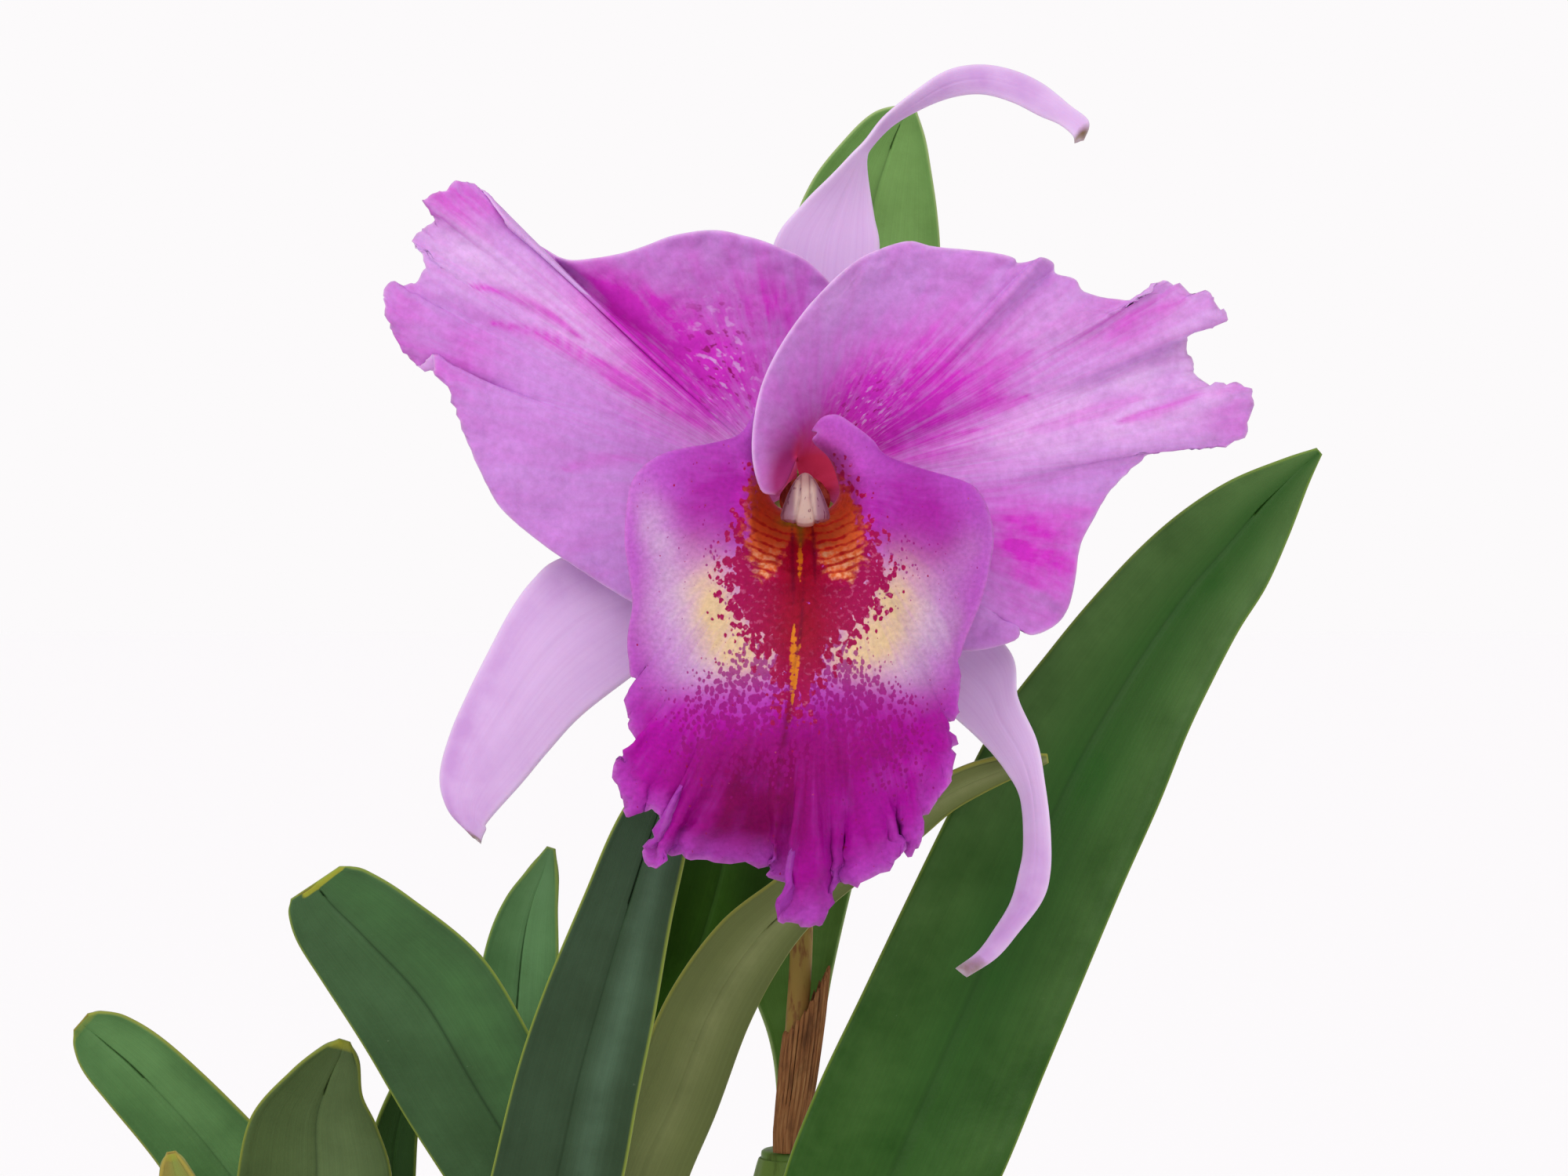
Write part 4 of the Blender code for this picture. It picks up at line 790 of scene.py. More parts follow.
def lip_form():
    outline = np.array(LIP, float)
    share = np.linspace(0, 1, len(outline))
    from_middle = softened(outline) - LIP_MIDDLE
    way = np.unwrap(np.arctan2(from_middle[:, 1], from_middle[:, 0]))
    way = (way - way[0]) / (way[-1] - way[0])
    spread = LIP_BY_DIRECTION * way + (1 - LIP_BY_DIRECTION) * share

    def oval(angles, half_width, half_height, middle):
        turn = np.radians(angles[0] + (angles[1] - angles[0]) * spread)
        return np.column_stack([half_width * np.cos(turn), half_height * np.sin(turn)]) + middle

    rings = []
    for step, (angles, half_width, half_height, depth) in enumerate(LIP_TUBE):
        middle = np.array(LIP_MIDDLE) * step / len(LIP_TUBE)
        rings.append(ring(oval(angles, half_width, half_height, middle), depth))
    mouth = oval(*LIP_MOUTH, LIP_MIDDLE)
    rings.append(ring(mouth, LIP_MOUTH_DEPTHS))
    rings.append(ring(mouth + LIP_SPREAD * (softened(outline) - mouth), LIP_SPREAD_DEPTHS))
    edge = ring(outline, LIP_EDGE_DEPTHS)
    edge[:, 2] += LIP_RUFFLE_HEIGHT * np.sin(np.pi * share) ** 2 * np.sin(2 * np.pi * LIP_RUFFLES * share)
    rings.append(edge)
    return fan(np.array(rings), LIP_RINGS, LIP_GRID)


# %% Ruffles, veins and the groove down the lip's middle
FRILLS, FRILL_HEIGHT, FRILL_DRIFT = 29, 1.5, 2.5
PLEATS, PLEAT_DEPTH = 9, 0.6
SWELL_SIZE, SWELL_HEIGHT = 11, 1.2
KEEL_HEIGHT, KEEL_MIDDLE, KEEL_HALF = 1.3, (-1.5, -36), (2.2, 26)
LIP_CRINKLE, LIP_CRINKLE_SIZE = 1.3, 2.4
MOUTH_AT, MOUTH_SOFT, MOUTH_ROUNDS = 0.45, 0.1, 40

lip = lip_form()
lip_round, lip_out = shares(LIP_GRID)
# The mouth turns over gently: its points are drawn to their neighbours along the growth
give = hill(lip_out, MOUTH_AT, MOUTH_SOFT)[:, 1:-1, None]
for _ in range(MOUTH_ROUNDS):
    lip[:, 1:-1] += 0.5 * give * (lip[:, :-2] + lip[:, 2:] - 2 * lip[:, 1:-1])
lower = np.sin(np.pi * lip_round) ** 2
swell = wander(lip[..., :2], SWELL_SIZE, 2)
frill = np.sin(2 * np.pi * FRILLS * lip_round + FRILL_DRIFT * swell)
lip[..., 2] += rise(lip_out, 0.74, 1.0) * lower * FRILL_HEIGHT * frill
lip[..., 2] += rise(lip_out, 0.55, 0.9) * SWELL_HEIGHT * swell
groove = hill(lip[..., 0], KEEL_MIDDLE[0], KEEL_HALF[0]) * hill(lip[..., 1], KEEL_MIDDLE[1], KEEL_HALF[1])
lip[..., 2] += KEEL_HEIGHT * groove * rise(lip_out, 0.4, 0.6)
pleat = np.abs(np.sin(np.pi * PLEATS * lip_round + swell)) ** 3
lip[..., 2] -= PLEAT_DEPTH * rise(lip_out, 0.5, 0.8) * lower * pleat
# The lower rim is crinkled, because it grew faster than the space for it
for axis in (0, 1):
    crinkled = wander(lip[..., :2], LIP_CRINKLE_SIZE, 60 + axis)
    lip[..., axis] += LIP_CRINKLE * rise(lip_out, 0.86, 1) * rise(-lip[..., 1], 20, 45) * crinkled
lip_flat = lip[..., :2]
print("lip grid", LIP_GRID, "with", FRILLS, "frills")

# %% [markdown]
# ## The lip's colours
#
# From the outside in: lilac rims, a broad magenta lower lobe, white and cream patches on each side, a
# crimson wedge broken up into spots at its borders, and an orange throat with dark red lines. Each zone
# is a layer that falls from 1 to 0 across its border, and the material adds a noise before it cuts.

# %% Where the lip's pigments lie
across_lip, up_lip = lip_flat[..., 0], lip_flat[..., 1]
lip_layers = {
    "crimson": between(lip_flat, [
        (6, -8, 7), (-4.7, -12.6, 12.4), (-12.4, -14.8, 15.6), (-16, -14.6, 15.4), (-20.5, -13, 13),
        (-25.7, -10.5, 9), (-30, -8, 7), (-34, -5, 3), (-39, -3.5, 0),
    ], 5) * (1 - 0.3 * rise(-up_lip, 20, 32) * rise(np.abs(across_lip + 1), 2, 6)),
    "core": hill(across_lip, -0.5, 7.5) * rise(up_lip, -38, -24),
    # Where painted light brightens the walls of the tube
    "inner": between(lip_flat, [
        (4, -8, 7.5), (1, -9.5, 9.5), (-3, -9.5, 10), (-7, -7.5, 9), (-11.5, -4, 4),
    ], 4.5),
    "mottle": 0.66 * between(lip_flat, [
        (-16, -15, 16), (-24, -10, 9), (-30, -17, 14), (-36, -23, 20), (-44, -25, 23), (-52, -20, 20),
    ], 6) + 0.34 * (patch(lip_flat, (-17, -9), (5, 4)) + patch(lip_flat, (19, -9), (7, 4))),
    "throat": between(lip_flat, [
        (12, -7, 1), (5, -9.5, 6.5), (2, -10.3, 8.5), (-1, -10.6, 10), (-5, -11, 11.4), (-9, -10.6, 11.4),
        (-12, -9.5, 10.6), (-15, -7.5, 9),
    ], 2.6) * (1 - between(lip_flat, [(-7, -2.4, 2), (-10.5, -4.6, 2.8), (-17, -6.5, 6)], 2)),
    "lines": rise(-up_lip, 0, 6),
    "outer": rise(-up_lip, 7, 11),
    "cream": marks(lip_flat, [
        (1, (-16, -20), (5, 9), 14), (0.8, (-9.5, -28), (7, 5)), (1, (15.5, -20), (5.5, 8.5), -20),
        (0.8, (9.5, -28), (7, 5)),
    ]),
    "white": marks(lip_flat, [
        (1, (-21, -21), (8.5, 9), 20), (0.7, (-27, -6), (3.5, 9), 20), (0.7, (-17, -31), (8, 4), 20),
        (1, (20, -23), (8.5, 8), -25), (0.25, (29, -11), (4, 8), -40), (0.7, (17, -32), (7, 4), -20),
    ]),
    "lower": rise(-up_lip, 29, 43),
    "deep": np.clip(
        rise(-up_lip, 38, 50) * hill(across_lip, -9, 14) * (1 - 0.6 * rise(-up_lip, 58, 68))
        + 0.5 * patch(lip_flat, (8, -44), (14, 8)),
        0, 1),
    "border": rise(lip_out, 0.92, 1.0) * (0.35 + 0.65 * lower),
    "violet": marks(lip_flat, [
        (0.95, (-15, 3), (10, 9), 10), (0.95, (19, -1), (12, 9), -15), (0.8, (-17, -6), (7, 6)),
        (0.8, (21, -8), (9, 5), -20), (0.6, (-31, -26), (4, 14)), (0.6, (29, -28), (5, 12)),
    ]),
    "blush": 0.6 * patch(lip_flat, (1.5, 8), (7, 6)),
    "streak": marks(lip_flat, [
        (1, [(-1.8, -23), (-2.0, -29), (-2.2, -38)], 0.85),
        (0.6, [(-0.3, -23), (-1.0, -30), (-1.5, -35)], 0.5),
        (0.75, [(-0.6, -8), (-0.7, -11), (-0.7, -15)], 0.8),
    ]),
    "seam": marks(lip_flat, [
        (1, [(-2.3, -4), (-2.1, -12), (-1.9, -19)], 0.55), (1, [(1.7, -4), (2.0, -9), (2.2, -15)], 0.5),
        (0.9, [(0.2, -12), (-0.5, -24), (-1.6, -30)], 0.4),
        (0.8, [(-1.6, -29), (-2.8, -38.7), (-4.0, -46.5), (-5.2, -64)], 0.6),
        (0.35, [(5, -42), (9, -54), (12, -64)], 1.0), (0.3, [(-9, -42), (-13, -52), (-16, -62)], 1.2),
    ]),
    "green": marks(lip_flat, [
        (1, (-2.6, -3.9), (2.8, 1.1)), (0.75, [(-0.6, -3.5), (-0.6, -8.5)], 0.9),
    ]),
    # Painted shade under the column's foot
    "shade": patch(lip_flat, (0, -5), (6, 3)),
}


# %% [markdown]
# The speckles of a cattleya lip are round blobs where the crimson thins out. A noise is added to the
# zone's own value and the sum is cut at one level, so that the solid wedge breaks up into spots. The
# lines in the throat are rings round a point above it, bent a little by the wave's own distortion.

# %% The lip's material
LIP_ROUGHNESS, LIP_GLOW = 0.5, (0.1, 0.0015)

lip_skin, put, shader = skin("cattleya lip, magenta", LIP_ROUGHNESS, LIP_GLOW, IOR=PETAL_IOR)
along, flat, layer = read_maps(put, *lip_layers)
vein_place = put("stretch", along, (90, 4, 1))
vein = put("noise", vein_place, Scale=1, Detail=3, Roughness=0.6)
cloud = put("noise", flat, Scale=15, Detail=6, Roughness=0.6)
grain = put("noise", flat, Scale=120, Detail=3)
blobs = put("noise", flat, Scale=62, Detail=2.5, Roughness=0.55)
specks = put("noise", flat, Scale=105, Detail=2)
drawn = put("stretch", flat, (1, 0.72, 1))
dots = put("voronoi", drawn, Scale=88, Randomness=1)
small_dots = put("voronoi", drawn, Scale=125, Randomness=1)
uneven = put("range", put("ADD", cloud, vein), 0.7, 1.3, -0.3, 0.3)


def worn(which, most=1.0):
    """A layer made uneven by clouds and veins, but only where it already is."""
    ragged = put("ADD", layer[which], put("MULTIPLY", uneven, layer[which]))
    return put("range", ragged, 0, 1, 0, most)


# The lilac, the pale patches, the lower lobe and the rim, one over the other
colour = "B250BC"
for which, most, over in (
    ("violet", 1, "9C1C94"), ("white", 0.95, "C2A0C6"), ("cream", 1, "D3B48E"), ("lower", 1, "A60A98"),
    ("deep", 1, "7E0054"), ("border", 0.75, "AE48B8"),
):
    colour = put("mix", worn(which, most), colour, over)
# Small spots, then the crimson wedge with its ragged border and a few light flecks
speckled = put("ADD", layer["mottle"], put("range", blobs, 0.3, 0.7, -0.22, 0.22))
spotted = put("range", put("SUBTRACT", speckled, small_dots), 0, 0.12, 0, 0.85)
colour = put("mix", spotted, colour, "8E0A70")
wedge = put("MULTIPLY", layer["crimson"], 1.15)
wedge = put("ADD", wedge, put("range", blobs, 0.3, 0.7, -0.28, 0.28))
ragged = put("range", put("SUBTRACT", wedge, dots), 0, 0.1)
light = put("range", specks, 0.56, 0.66, 0, 0.38)
light = put("MULTIPLY", light, put("SUBTRACT", 1, layer["core"]))
dark = put("range", blobs, 0.5, 0.62, 0, 0.4)
crimson = put("mix", layer["core"], "980A4C", put("mix", dark, "900A28", "700418"))
crimson = put("mix", light, crimson, "CC6C98")
colour = put("mix", ragged, colour, crimson)
# The orange throat and its lines
ring_place = put("stretch", flat, (0.85, 1, 1), Location=(-0.0025, -0.055, 0))
rings = put(
    "ShaderNodeTexWave", ring_place, Scale=21, Distortion=2.6, Detail=2.5, Detail_Scale=1.8,
    wave_type="RINGS", rings_direction="SPHERICAL",
)
uneven_rings = put("ADD", rings, put("range", blobs, 0.3, 0.7, -0.15, 0.35))
bands = put("mix", put("range", uneven_rings, 0.05, 0.55), "A01C1C", "CC6230")
light = put("range", specks, 0.40, 0.62, 0, 0.9)
light = put("MULTIPLY", light, put("range", uneven_rings, 0.3, 0.7))
light = put("MULTIPLY", light, layer["outer"])
bands = put("mix", light, bands, "E2A078")
lined = put("mix", layer["lines"], "AE4820", bands)
# Painted shade in the throat under the column's foot
lined = put("mix", put("MULTIPLY", layer["shade"], 0.6), lined, "9A2410")
inside = put("ADD", layer["throat"], put("range", blobs, 0.3, 0.7, -0.25, 0.25))
inside = put("range", inside, 0.35, 0.7, 0, 0.95)
colour = put("mix", inside, colour, lined)
colour = put("mix", layer["blush"], colour, "A0306A")
streaked = put("MULTIPLY", layer["streak"], put("range", specks, 0.3, 0.7, 0.35, 1.35))
streaked = put("range", streaked, 0.35, 0.6)
colour = put("mix", streaked, colour, "CC761C")
colour = put("mix", put("MULTIPLY", layer["seam"], 0.8), colour, "5E0626")
colour = put("mix", layer["green"], colour, "74681A")
# Painted light: the tube's walls are brightened, so they are not as dark as a shaded wall
painted_tube_light = put("range", layer["inner"], 0, 1, 1, 2.7)
colour = put("tint", 1, colour, painted_tube_light, clamp_result=True)
edge = put("MULTIPLY", put("POWER", layer["rim"], 4), 0.6)
colour = put("mix", edge, colour, "CC80D0")
colour = put("tint", 1, colour, put("range", grain, 0.3, 0.7, 0.88, 1.1))
colour = put("mix", layer["front"], put("mix", worn("lower"), "C890CE", "A036A4"), colour)
paint(shader, colour, put("bump", put("ADD", vein, grain), 0.45, 0.0003))

lip_piece = sheet("lip_skin", on_flower(lip), LIP_THICKNESS, LIP_RIM, lip_skin, lip_flat, lip_layers)
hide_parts("lip")
print(lip_piece.name, len(lip_piece.data.polygons), "faces")

# %% [markdown]
# ## A living stem
#
# The column, the stalk, the pseudobulbs and the roots are round stems. Rings of points follow a smooth
# line, each turned along with it so that the stem never twists, and both ends close in a small dome. A
# relief of numbers round and along the stem swells or grooves it.

# %% The stem
DOME = [(0, 0), (0.06, 0.4), (0.2, 0.72), (0.5, 0.93)]


def tube(rings, low, high):
    """Points and faces of a closed tube: rings from its foot to its tip, and a point at each end."""
    count, sides = rings.shape[:2]
    number = np.arange(count * sides).reshape(count, sides)
    after = np.roll(number, -1, axis=1)
    faces = np.stack([number[:-1], after[:-1], after[1:], number[1:]], -1).reshape(-1, 4).tolist()
    faces += [[count * sides, b, a] for a, b in zip(number[0], after[0])]
    faces += [[count * sides + 1, a, b] for a, b in zip(number[-1], after[-1])]
    return np.vstack([rings.reshape(-1, 3), low, high]) * MM, faces


def stem(rows, sides, steps, relief=None, dome=0.8):
    """A closed round stem through rows of x, y, z and radius. RELIEF(round, along) scales the radius."""
    line = spline(np.asarray(rows, float), np.linspace(0, 1, steps))
    middle, radius = line[:, :3], np.maximum(line[:, 3], 0.02)
    way = np.gradient(middle, axis=0)
    way /= np.linalg.norm(way, axis=1, keepdims=True)
    side = np.empty_like(way)
    last = np.array([1.0, 0.0, 0.0]) if abs(way[0, 0]) < 0.9 else np.array([0.0, 0.0, 1.0])
    for number, direction in enumerate(way):
        last = last - direction * last.dot(direction)
        last /= np.linalg.norm(last)
        side[number] = last
    other = np.cross(way, side)
    angle = np.linspace(0, 2 * np.pi, sides, endpoint=False)
    share = np.linspace(0, 1, steps)
    grown = radius[:, None] * np.ones(sides)
    if relief is not None:
        grown = grown * relief(*np.meshgrid(angle, share))
    rings = (
        middle[:, None]
        + grown[..., None] * np.cos(angle)[:, None] * side[:, None]
        + grown[..., None] * np.sin(angle)[:, None] * other[:, None]
    )
    caps = []
    for end, sign in ((0, -1), (-1, 1)):
        out = sign * way[end] * radius[end] * dome
        inner = [middle[end] + (rings[end] - middle[end]) * wide + out * (1 - reach) for reach, wide in DOME]
        caps.append(inner if sign < 0 else inner[::-1])
    rings = np.concatenate([caps[0][1:], rings, caps[1][:-1]])
    grow = np.concatenate([np.repeat(np.linspace(0, 1, len(rings)), sides), [0, 1]])
    return *tube(rings, caps[0][0][0], caps[1][-1][0]), grow


def stems(name, shapes, material):
    """One piece from several stems. Each point's share of its stem's length is kept as "up"."""
    points, faces, grow, before = [], [], [], 0
    for shape_points, shape_faces, shape_grow in shapes:
        points.append(shape_points)
        faces += [[corner + before for corner in face] for face in shape_faces]
        grow.append(shape_grow)
        before += len(shape_points)
    return link(name, smooth_mesh(name, np.vstack(points), faces, {"up": np.concatenate(grow)}), material)


# %% [markdown]
# ## The column and its cap
#
# The column joins the flower's male and female parts. Its end carries a pale cap over the pollen, with a
# ridge down its middle, between two purple wings.

# %% The column
HEAD_RADIUS, HEAD_DEPTH, COLUMN_END = 5.5, 7.0, -17.0
COLUMN = [
    (0, 0, 6.7, 2.6), (0, 0, 1, 3), (0.1, 0, -7, 3.7), (0.2, 0.2, -13, 4.2), (0.3, 0.4, COLUMN_END, 4.2),
]
WING_HEIGHT, WING_FROM = 0.08, 0.45

column_skin, put, shader = skin("column flesh, wine red", 0.42, (0.1, 0.001))
place = put("place")
grow = put("layer", attribute_name="up")
fleck = put("noise", place, Scale=900, Detail=3)
ripe = put("range", grow, 0.3, 0.8)
colour = put("mix", ripe, "D9A8C0", "8E3424")
freckled = put("range", fleck, 0.52, 0.64)
colour = put("mix", freckled, colour, "6E1410")
paint(shader, colour)


def winged(angle, share):
    """Two low wings, left and right of the column's end."""
    grown = np.sin(np.pi * np.clip((share - WING_FROM) / (1 - WING_FROM), 0, 1) * 0.62)
    return 1 + WING_HEIGHT * hill(np.cos(angle) ** 2, 1, 0.16) * grown


column_rows = np.array(COLUMN, float)
column_rows = np.column_stack([on_flower(column_rows[:, :3]), column_rows[:, 3]])
column = stems("column_flesh", [stem(column_rows, 64, 40, winged, dome=0.06)], column_skin)
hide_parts("column")

# %% The cap
CAP_GAP = 0.3
CAP_MIDDLE, CAP_DEEP = 0.3, 3.4
# The bell from its tip down: height above the flower's middle and half width
CAP_BELL = [
    (5.2, 0), (5.05, 0.6), (4.6, 1.2), (3.7, 1.9), (2.4, 2.65), (0.9, 3.35), (-0.9, 4.0), (-2.4, 4.45),
    (-3.2, 4.35), (-3.7, 3.5), (-3.8, 1.8), (-3.8, 0),
]
CAP_ROUND, CAP_RINGS = 128, 72
RIDGE_HALF, CAP_CREASE, CAP_SEAM, CREASE_LIFT = 1.85, 0.3, 0.12, 0.35
LOBE_DROP, LOBE_HALF = 0.8, 2.7

cap_skin, put, shader = skin("anther cap, waxy cream", 0.36, (0.2, 0.001), Specular_IOR_Level=0.3)
place = put("place")
layer = {which: put("layer", attribute_name=which) for which in ("ridge", "crease", "top")}
stretched = put("stretch", place, (1, 1, 0.4))
fleck = put("noise", stretched, Scale=1300, Detail=2)
blush = put("noise", place, Scale=350, Detail=4)
colour = put("mix", layer["ridge"], "96707E", "BC9C92")
blush = put("range", blush, 0.45, 0.7, 0, 0.3)
colour = put("mix", blush, colour, "A06A80")
colour = put("mix", layer["top"], colour, "9C706E")
speck = put("range", fleck, 0.64, 0.68, 0, 0.85)
colour = put("mix", speck, colour, "6A2848")
broken = put("range", fleck, 0.40, 0.60, 0.25, 0.9)
line = put("MULTIPLY", layer["crease"], broken, use_clamp=True)
colour = put("mix", line, colour, "5E2444")
paint(shader, colour)

# Rings of points down the bell, evenly spread along its profile
profile = np.array(CAP_BELL, float)
at = np.insert(np.cumsum(np.hypot(*np.diff(profile, axis=0).T)), 0, 0)
even = np.linspace(0, at[-1], CAP_RINGS + 2)[1:-1]
height, half = np.interp(even, at, profile[:, 0])[:, None], np.interp(even, at, profile[:, 1])[:, None]
angle = np.linspace(0, 2 * np.pi, CAP_ROUND, endpoint=False)[None, :]
across = half * np.cos(angle)
front = rise(-np.sin(angle), 0.0, 0.3)
low = rise(-height, -1.5, 3.6)
crease = hill(np.abs(across), RIDGE_HALF * (0.55 + 0.45 * low), 0.28) * front
outer = hill(np.abs(np.cos(angle)), 0.93, 0.05) * front
ridge = rise(RIDGE_HALF - np.abs(across), -0.5, 0.3) * front
lobe = np.clip(1 - (across / LOBE_HALF) ** 2, 0, 1) * front
shrink = 1 - (CAP_CREASE * crease + CAP_SEAM * front * outer) / np.maximum(half, 1)
cap_deep = CAP_DEEP / profile[:, 1].max()
cap_middle = on_flower((CAP_MIDDLE, 0, COLUMN_END - CAP_GAP - CAP_DEEP))
bell = np.stack([
    cap_middle[0] + across * shrink,
    cap_middle[1] + cap_deep * half * np.sin(angle) * shrink,
    cap_middle[2] + height - LOBE_DROP * lobe * low + CREASE_LIFT * crease * low,
], -1)
ends = [(cap_middle[0], cap_middle[1], cap_middle[2] + profile[end, 0]) for end in (-1, 0)]
points, faces = tube(bell[::-1], *ends)
shown = {
    "ridge": ridge,
    "crease": np.maximum(0.5 * crease, 1.2 * outer),
    "top": rise(height, 1.5, 4) * np.ones_like(angle),
}
shown = {which: np.append(values[::-1].ravel(), [0, 0]) for which, values in shown.items()}
mesh = smooth_mesh("anther_cap_wax", points, faces, shown)
cap = link("anther_cap_wax", mesh, cap_skin)
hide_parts("anther_cap")
print("column and cap", len(column.data.polygons), len(cap.data.polygons), "faces")

# %% [markdown]
# ## The flower stalk and its sheath
#
# The stalk rises from the top of its pseudobulb behind the leaves and carries the flower on a swollen
# green ovary with faint ribs. Round its foot stands the dry sheath that once wrapped the bud: brown paper
# with long fibres, split down one side and torn at its rim.

# %% The stalk
BULBS = {
    "bulb_flowering": ((26, 34), (41.5, 39, 249), 11.5, 5.5),
    "bulb_right": ((36, 6), (44.8, 4, 199), 10.5, 4.2),
    "bulb_middle": ((12, 2), (13.6, 2, 208), 10.5, 4.6),
    "bulb_front": ((-10, -8), (-9.7, -10, 206), 10, 4.2),
    "bulb_left": ((-36, 2), (-51, 10, 198), 10, 4.6),
    "bulb_far_left": ((-28, 30), (-37, 34, 196), 9.5, 4.6),
    "bulb_back": ((0, 32), (-1, 34, 212.5), 10, 4.6),
    "bulb_leafless": ((-54, 16), (-63, 22, 176), 8.5, 2.2),
}
STALK_FOOT, STALK_FOOT_RADIUS, STALK_UPRIGHT, STALK_GAP = (-0.3, -3.5), 2.2, 4, 0.3
STALK = [
    (42, 267, 38, 2.2), (42.8, 279, 39.5, 2.2), (43.5, 290, 40, 2.2), (44, 308, 39, 2.2),
    (44.3, 322, 37, 2.3), (44.3, 336, 34.5, 2.4), (44, 350, 31, 2.6), (44, 362, 26, 2.9),
    (44, 369.5, 20, 3.3), (44, 373, 14, 4.2), (44, 374.2, 9.5, HEAD_RADIUS),
    (44, 374.2, HEAD_DEPTH, HEAD_RADIUS),
]


def stalk_rows():
    top = BULBS["bulb_flowering"][1]
    rows = np.array(STALK, float)
    foot = (top[0] + STALK_FOOT[0], top[1] + STALK_FOOT[1], top[2] + STALK_GAP)
    start = (foot[0], foot[1], foot[2] + STALK_UPRIGHT, STALK_FOOT_RADIUS)
    upper = np.column_stack([seen(rows[:, :3]), rows[:, 3]])
    return np.vstack([(*foot, STALK_FOOT_RADIUS), start, upper])


def plant_skin(name, roughness, low, high, fleck_colour, size, stretch, fleck_at=(0.55, 0.68), bump=0.3):
    """Green or brown plant skin: two tones from foot to tip, with flecks drawn out along the stem."""
    material, put, shader = skin(name, roughness, (0.05, 0.001))
    place = put("place")
    grow = put("layer", attribute_name="up")
    drawn = put("stretch", place, (1, 1, stretch))
    cloud = put("noise", place, Scale=60, Detail=5)
    fleck = put("noise", drawn, Scale=1 / size, Detail=4)
    climb = put("ADD", grow, cloud)
    climb = put("range", climb, 0.45, 1.45)
    colour = put("mix", climb, low, high)
    stained = put("range", fleck, fleck_at[0], fleck_at[1], 0, 0.8)
    colour = put("mix", stained, colour, fleck_colour)
    paint(shader, colour, put("bump", fleck, bump, 0.0003))
    return material


stalk_skin = plant_skin("flower stalk, olive", 0.45, "A0703E", "93A04C", "7A4A30", 0.0011, 0.25)


def ribbed(angle, share):
    """Faint ribs on the ovary, and a ring where the stalk's bract sat."""
    return 1 + 0.05 * rise(share, 0.45, 0.8) * np.cos(6 * angle) + 0.06 * hill(share, 0.42, 0.008)


stalk = stems("flower_stalk_skin", [stem(stalk_rows(), 40, 160, ribbed, dome=0.05)], stalk_skin)
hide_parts("flower_stalk")

# %% The sheath
SHEATH_RADII = [3.3, 3.6, 3.9, 4.1, 4.0]
SHEATH_LOW, SHEATH_HIGH, SHEATH_LEAN, SHEATH_ARC = 22, 35, 1.6, (-150, 150)
SHEATH_RIBS, SHEATH_RIB_HEIGHT = 31, 0.16
SHEATH_GRID = (110, 44)
SHEATH_THICKNESS, SHEATH_RIM = 0.5, 0.4

line = stalk_rows()[:6, :3]
height = line[:, 2] - line[0, 2]
angle = np.radians(np.linspace(*SHEATH_ARC, SHEATH_GRID[0]))[:, None]
share = np.linspace(0, 1, SHEATH_GRID[1])[None, :]
rim = SHEATH_LOW + (SHEATH_HIGH - SHEATH_LOW) * (0.5 + 0.5 * np.cos(angle)) ** 1.5
rim = rim + 0.5 * np.sin(23 * angle) + 0.35 * np.sin(57 * angle + 1)
up = share * rim
ribs = SHEATH_RIB_HEIGHT * np.cos(SHEATH_RIBS * angle) * rise(share, 0.1, 0.5)
radius = spline(SHEATH_RADII, np.broadcast_to(share, up.shape)) + ribs
lean = SHEATH_LEAN * up / SHEATH_HIGH
sheath_places = np.stack([
    np.interp(up, height, line[:, 0]) + radius * np.cos(angle) + lean,
    np.interp(up, height, line[:, 1]) + radius * np.sin(angle),
    line[0, 2] + up,
], -1)


def papery_skin(name, light, middle, dark, across, spots=0.0):
    """Dry papery skin: long fibres in three tones, translucent and dull."""
    material, put, shader = skin(name, 0.75, (0.08, 0.0008))
    along = put("map", uv_map="along")
    fibre_place = put("stretch", along, (across, 3, 1))
    fibre = put("noise", fibre_place, Scale=1, Detail=4, Roughness=0.6)
    stain_place = put("stretch", along, (5, 4, 1))
    stain = put("noise", stain_place, Scale=1, Detail=6, Roughness=0.6)
    colour = put("ramp", fibre, stops=[(0.32, dark), (0.5, middle), (0.68, light)])
    stained = put("range", stain, 0.5 - spots, 0.7 - spots, 0, 0.75)
    colour = put("mix", stained, colour, dark)
    paint(shader, colour, put("bump", fibre, 0.6, 0.0003))
    return material


sheath_skin = papery_skin("dry sheath, brown paper", "AC7E52", "96643E", "62402A", 46.0, 0.0)
sheath = sheet(
    "flower_sheath_paper", sheath_places, SHEATH_THICKNESS, SHEATH_RIM, sheath_skin, front_view(sheath_places)
)
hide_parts("flower_sheath")
print("stalk and sheath", len(stalk.data.polygons), len(sheath.data.polygons), "faces")

# %% [markdown]
# ## The leaves
#
# A cattleya leaf is a stiff leathery strap, folded a little along its midrib. Each one is measured as a
# midrib line with a half width and a depth at every point. A groove runs along the midrib on its upper
# face, the rims thin out, and long shallow waves keep the faces from looking pressed flat.

# %% The leaves' midribs
LEAF_FOOT_HALF, FOOT_SUNK, LEAF_THICKNESS, LEAF_RIM = 3.2, 1.0, 1.3, 0.9
LEAF_GRID = (130, 40)
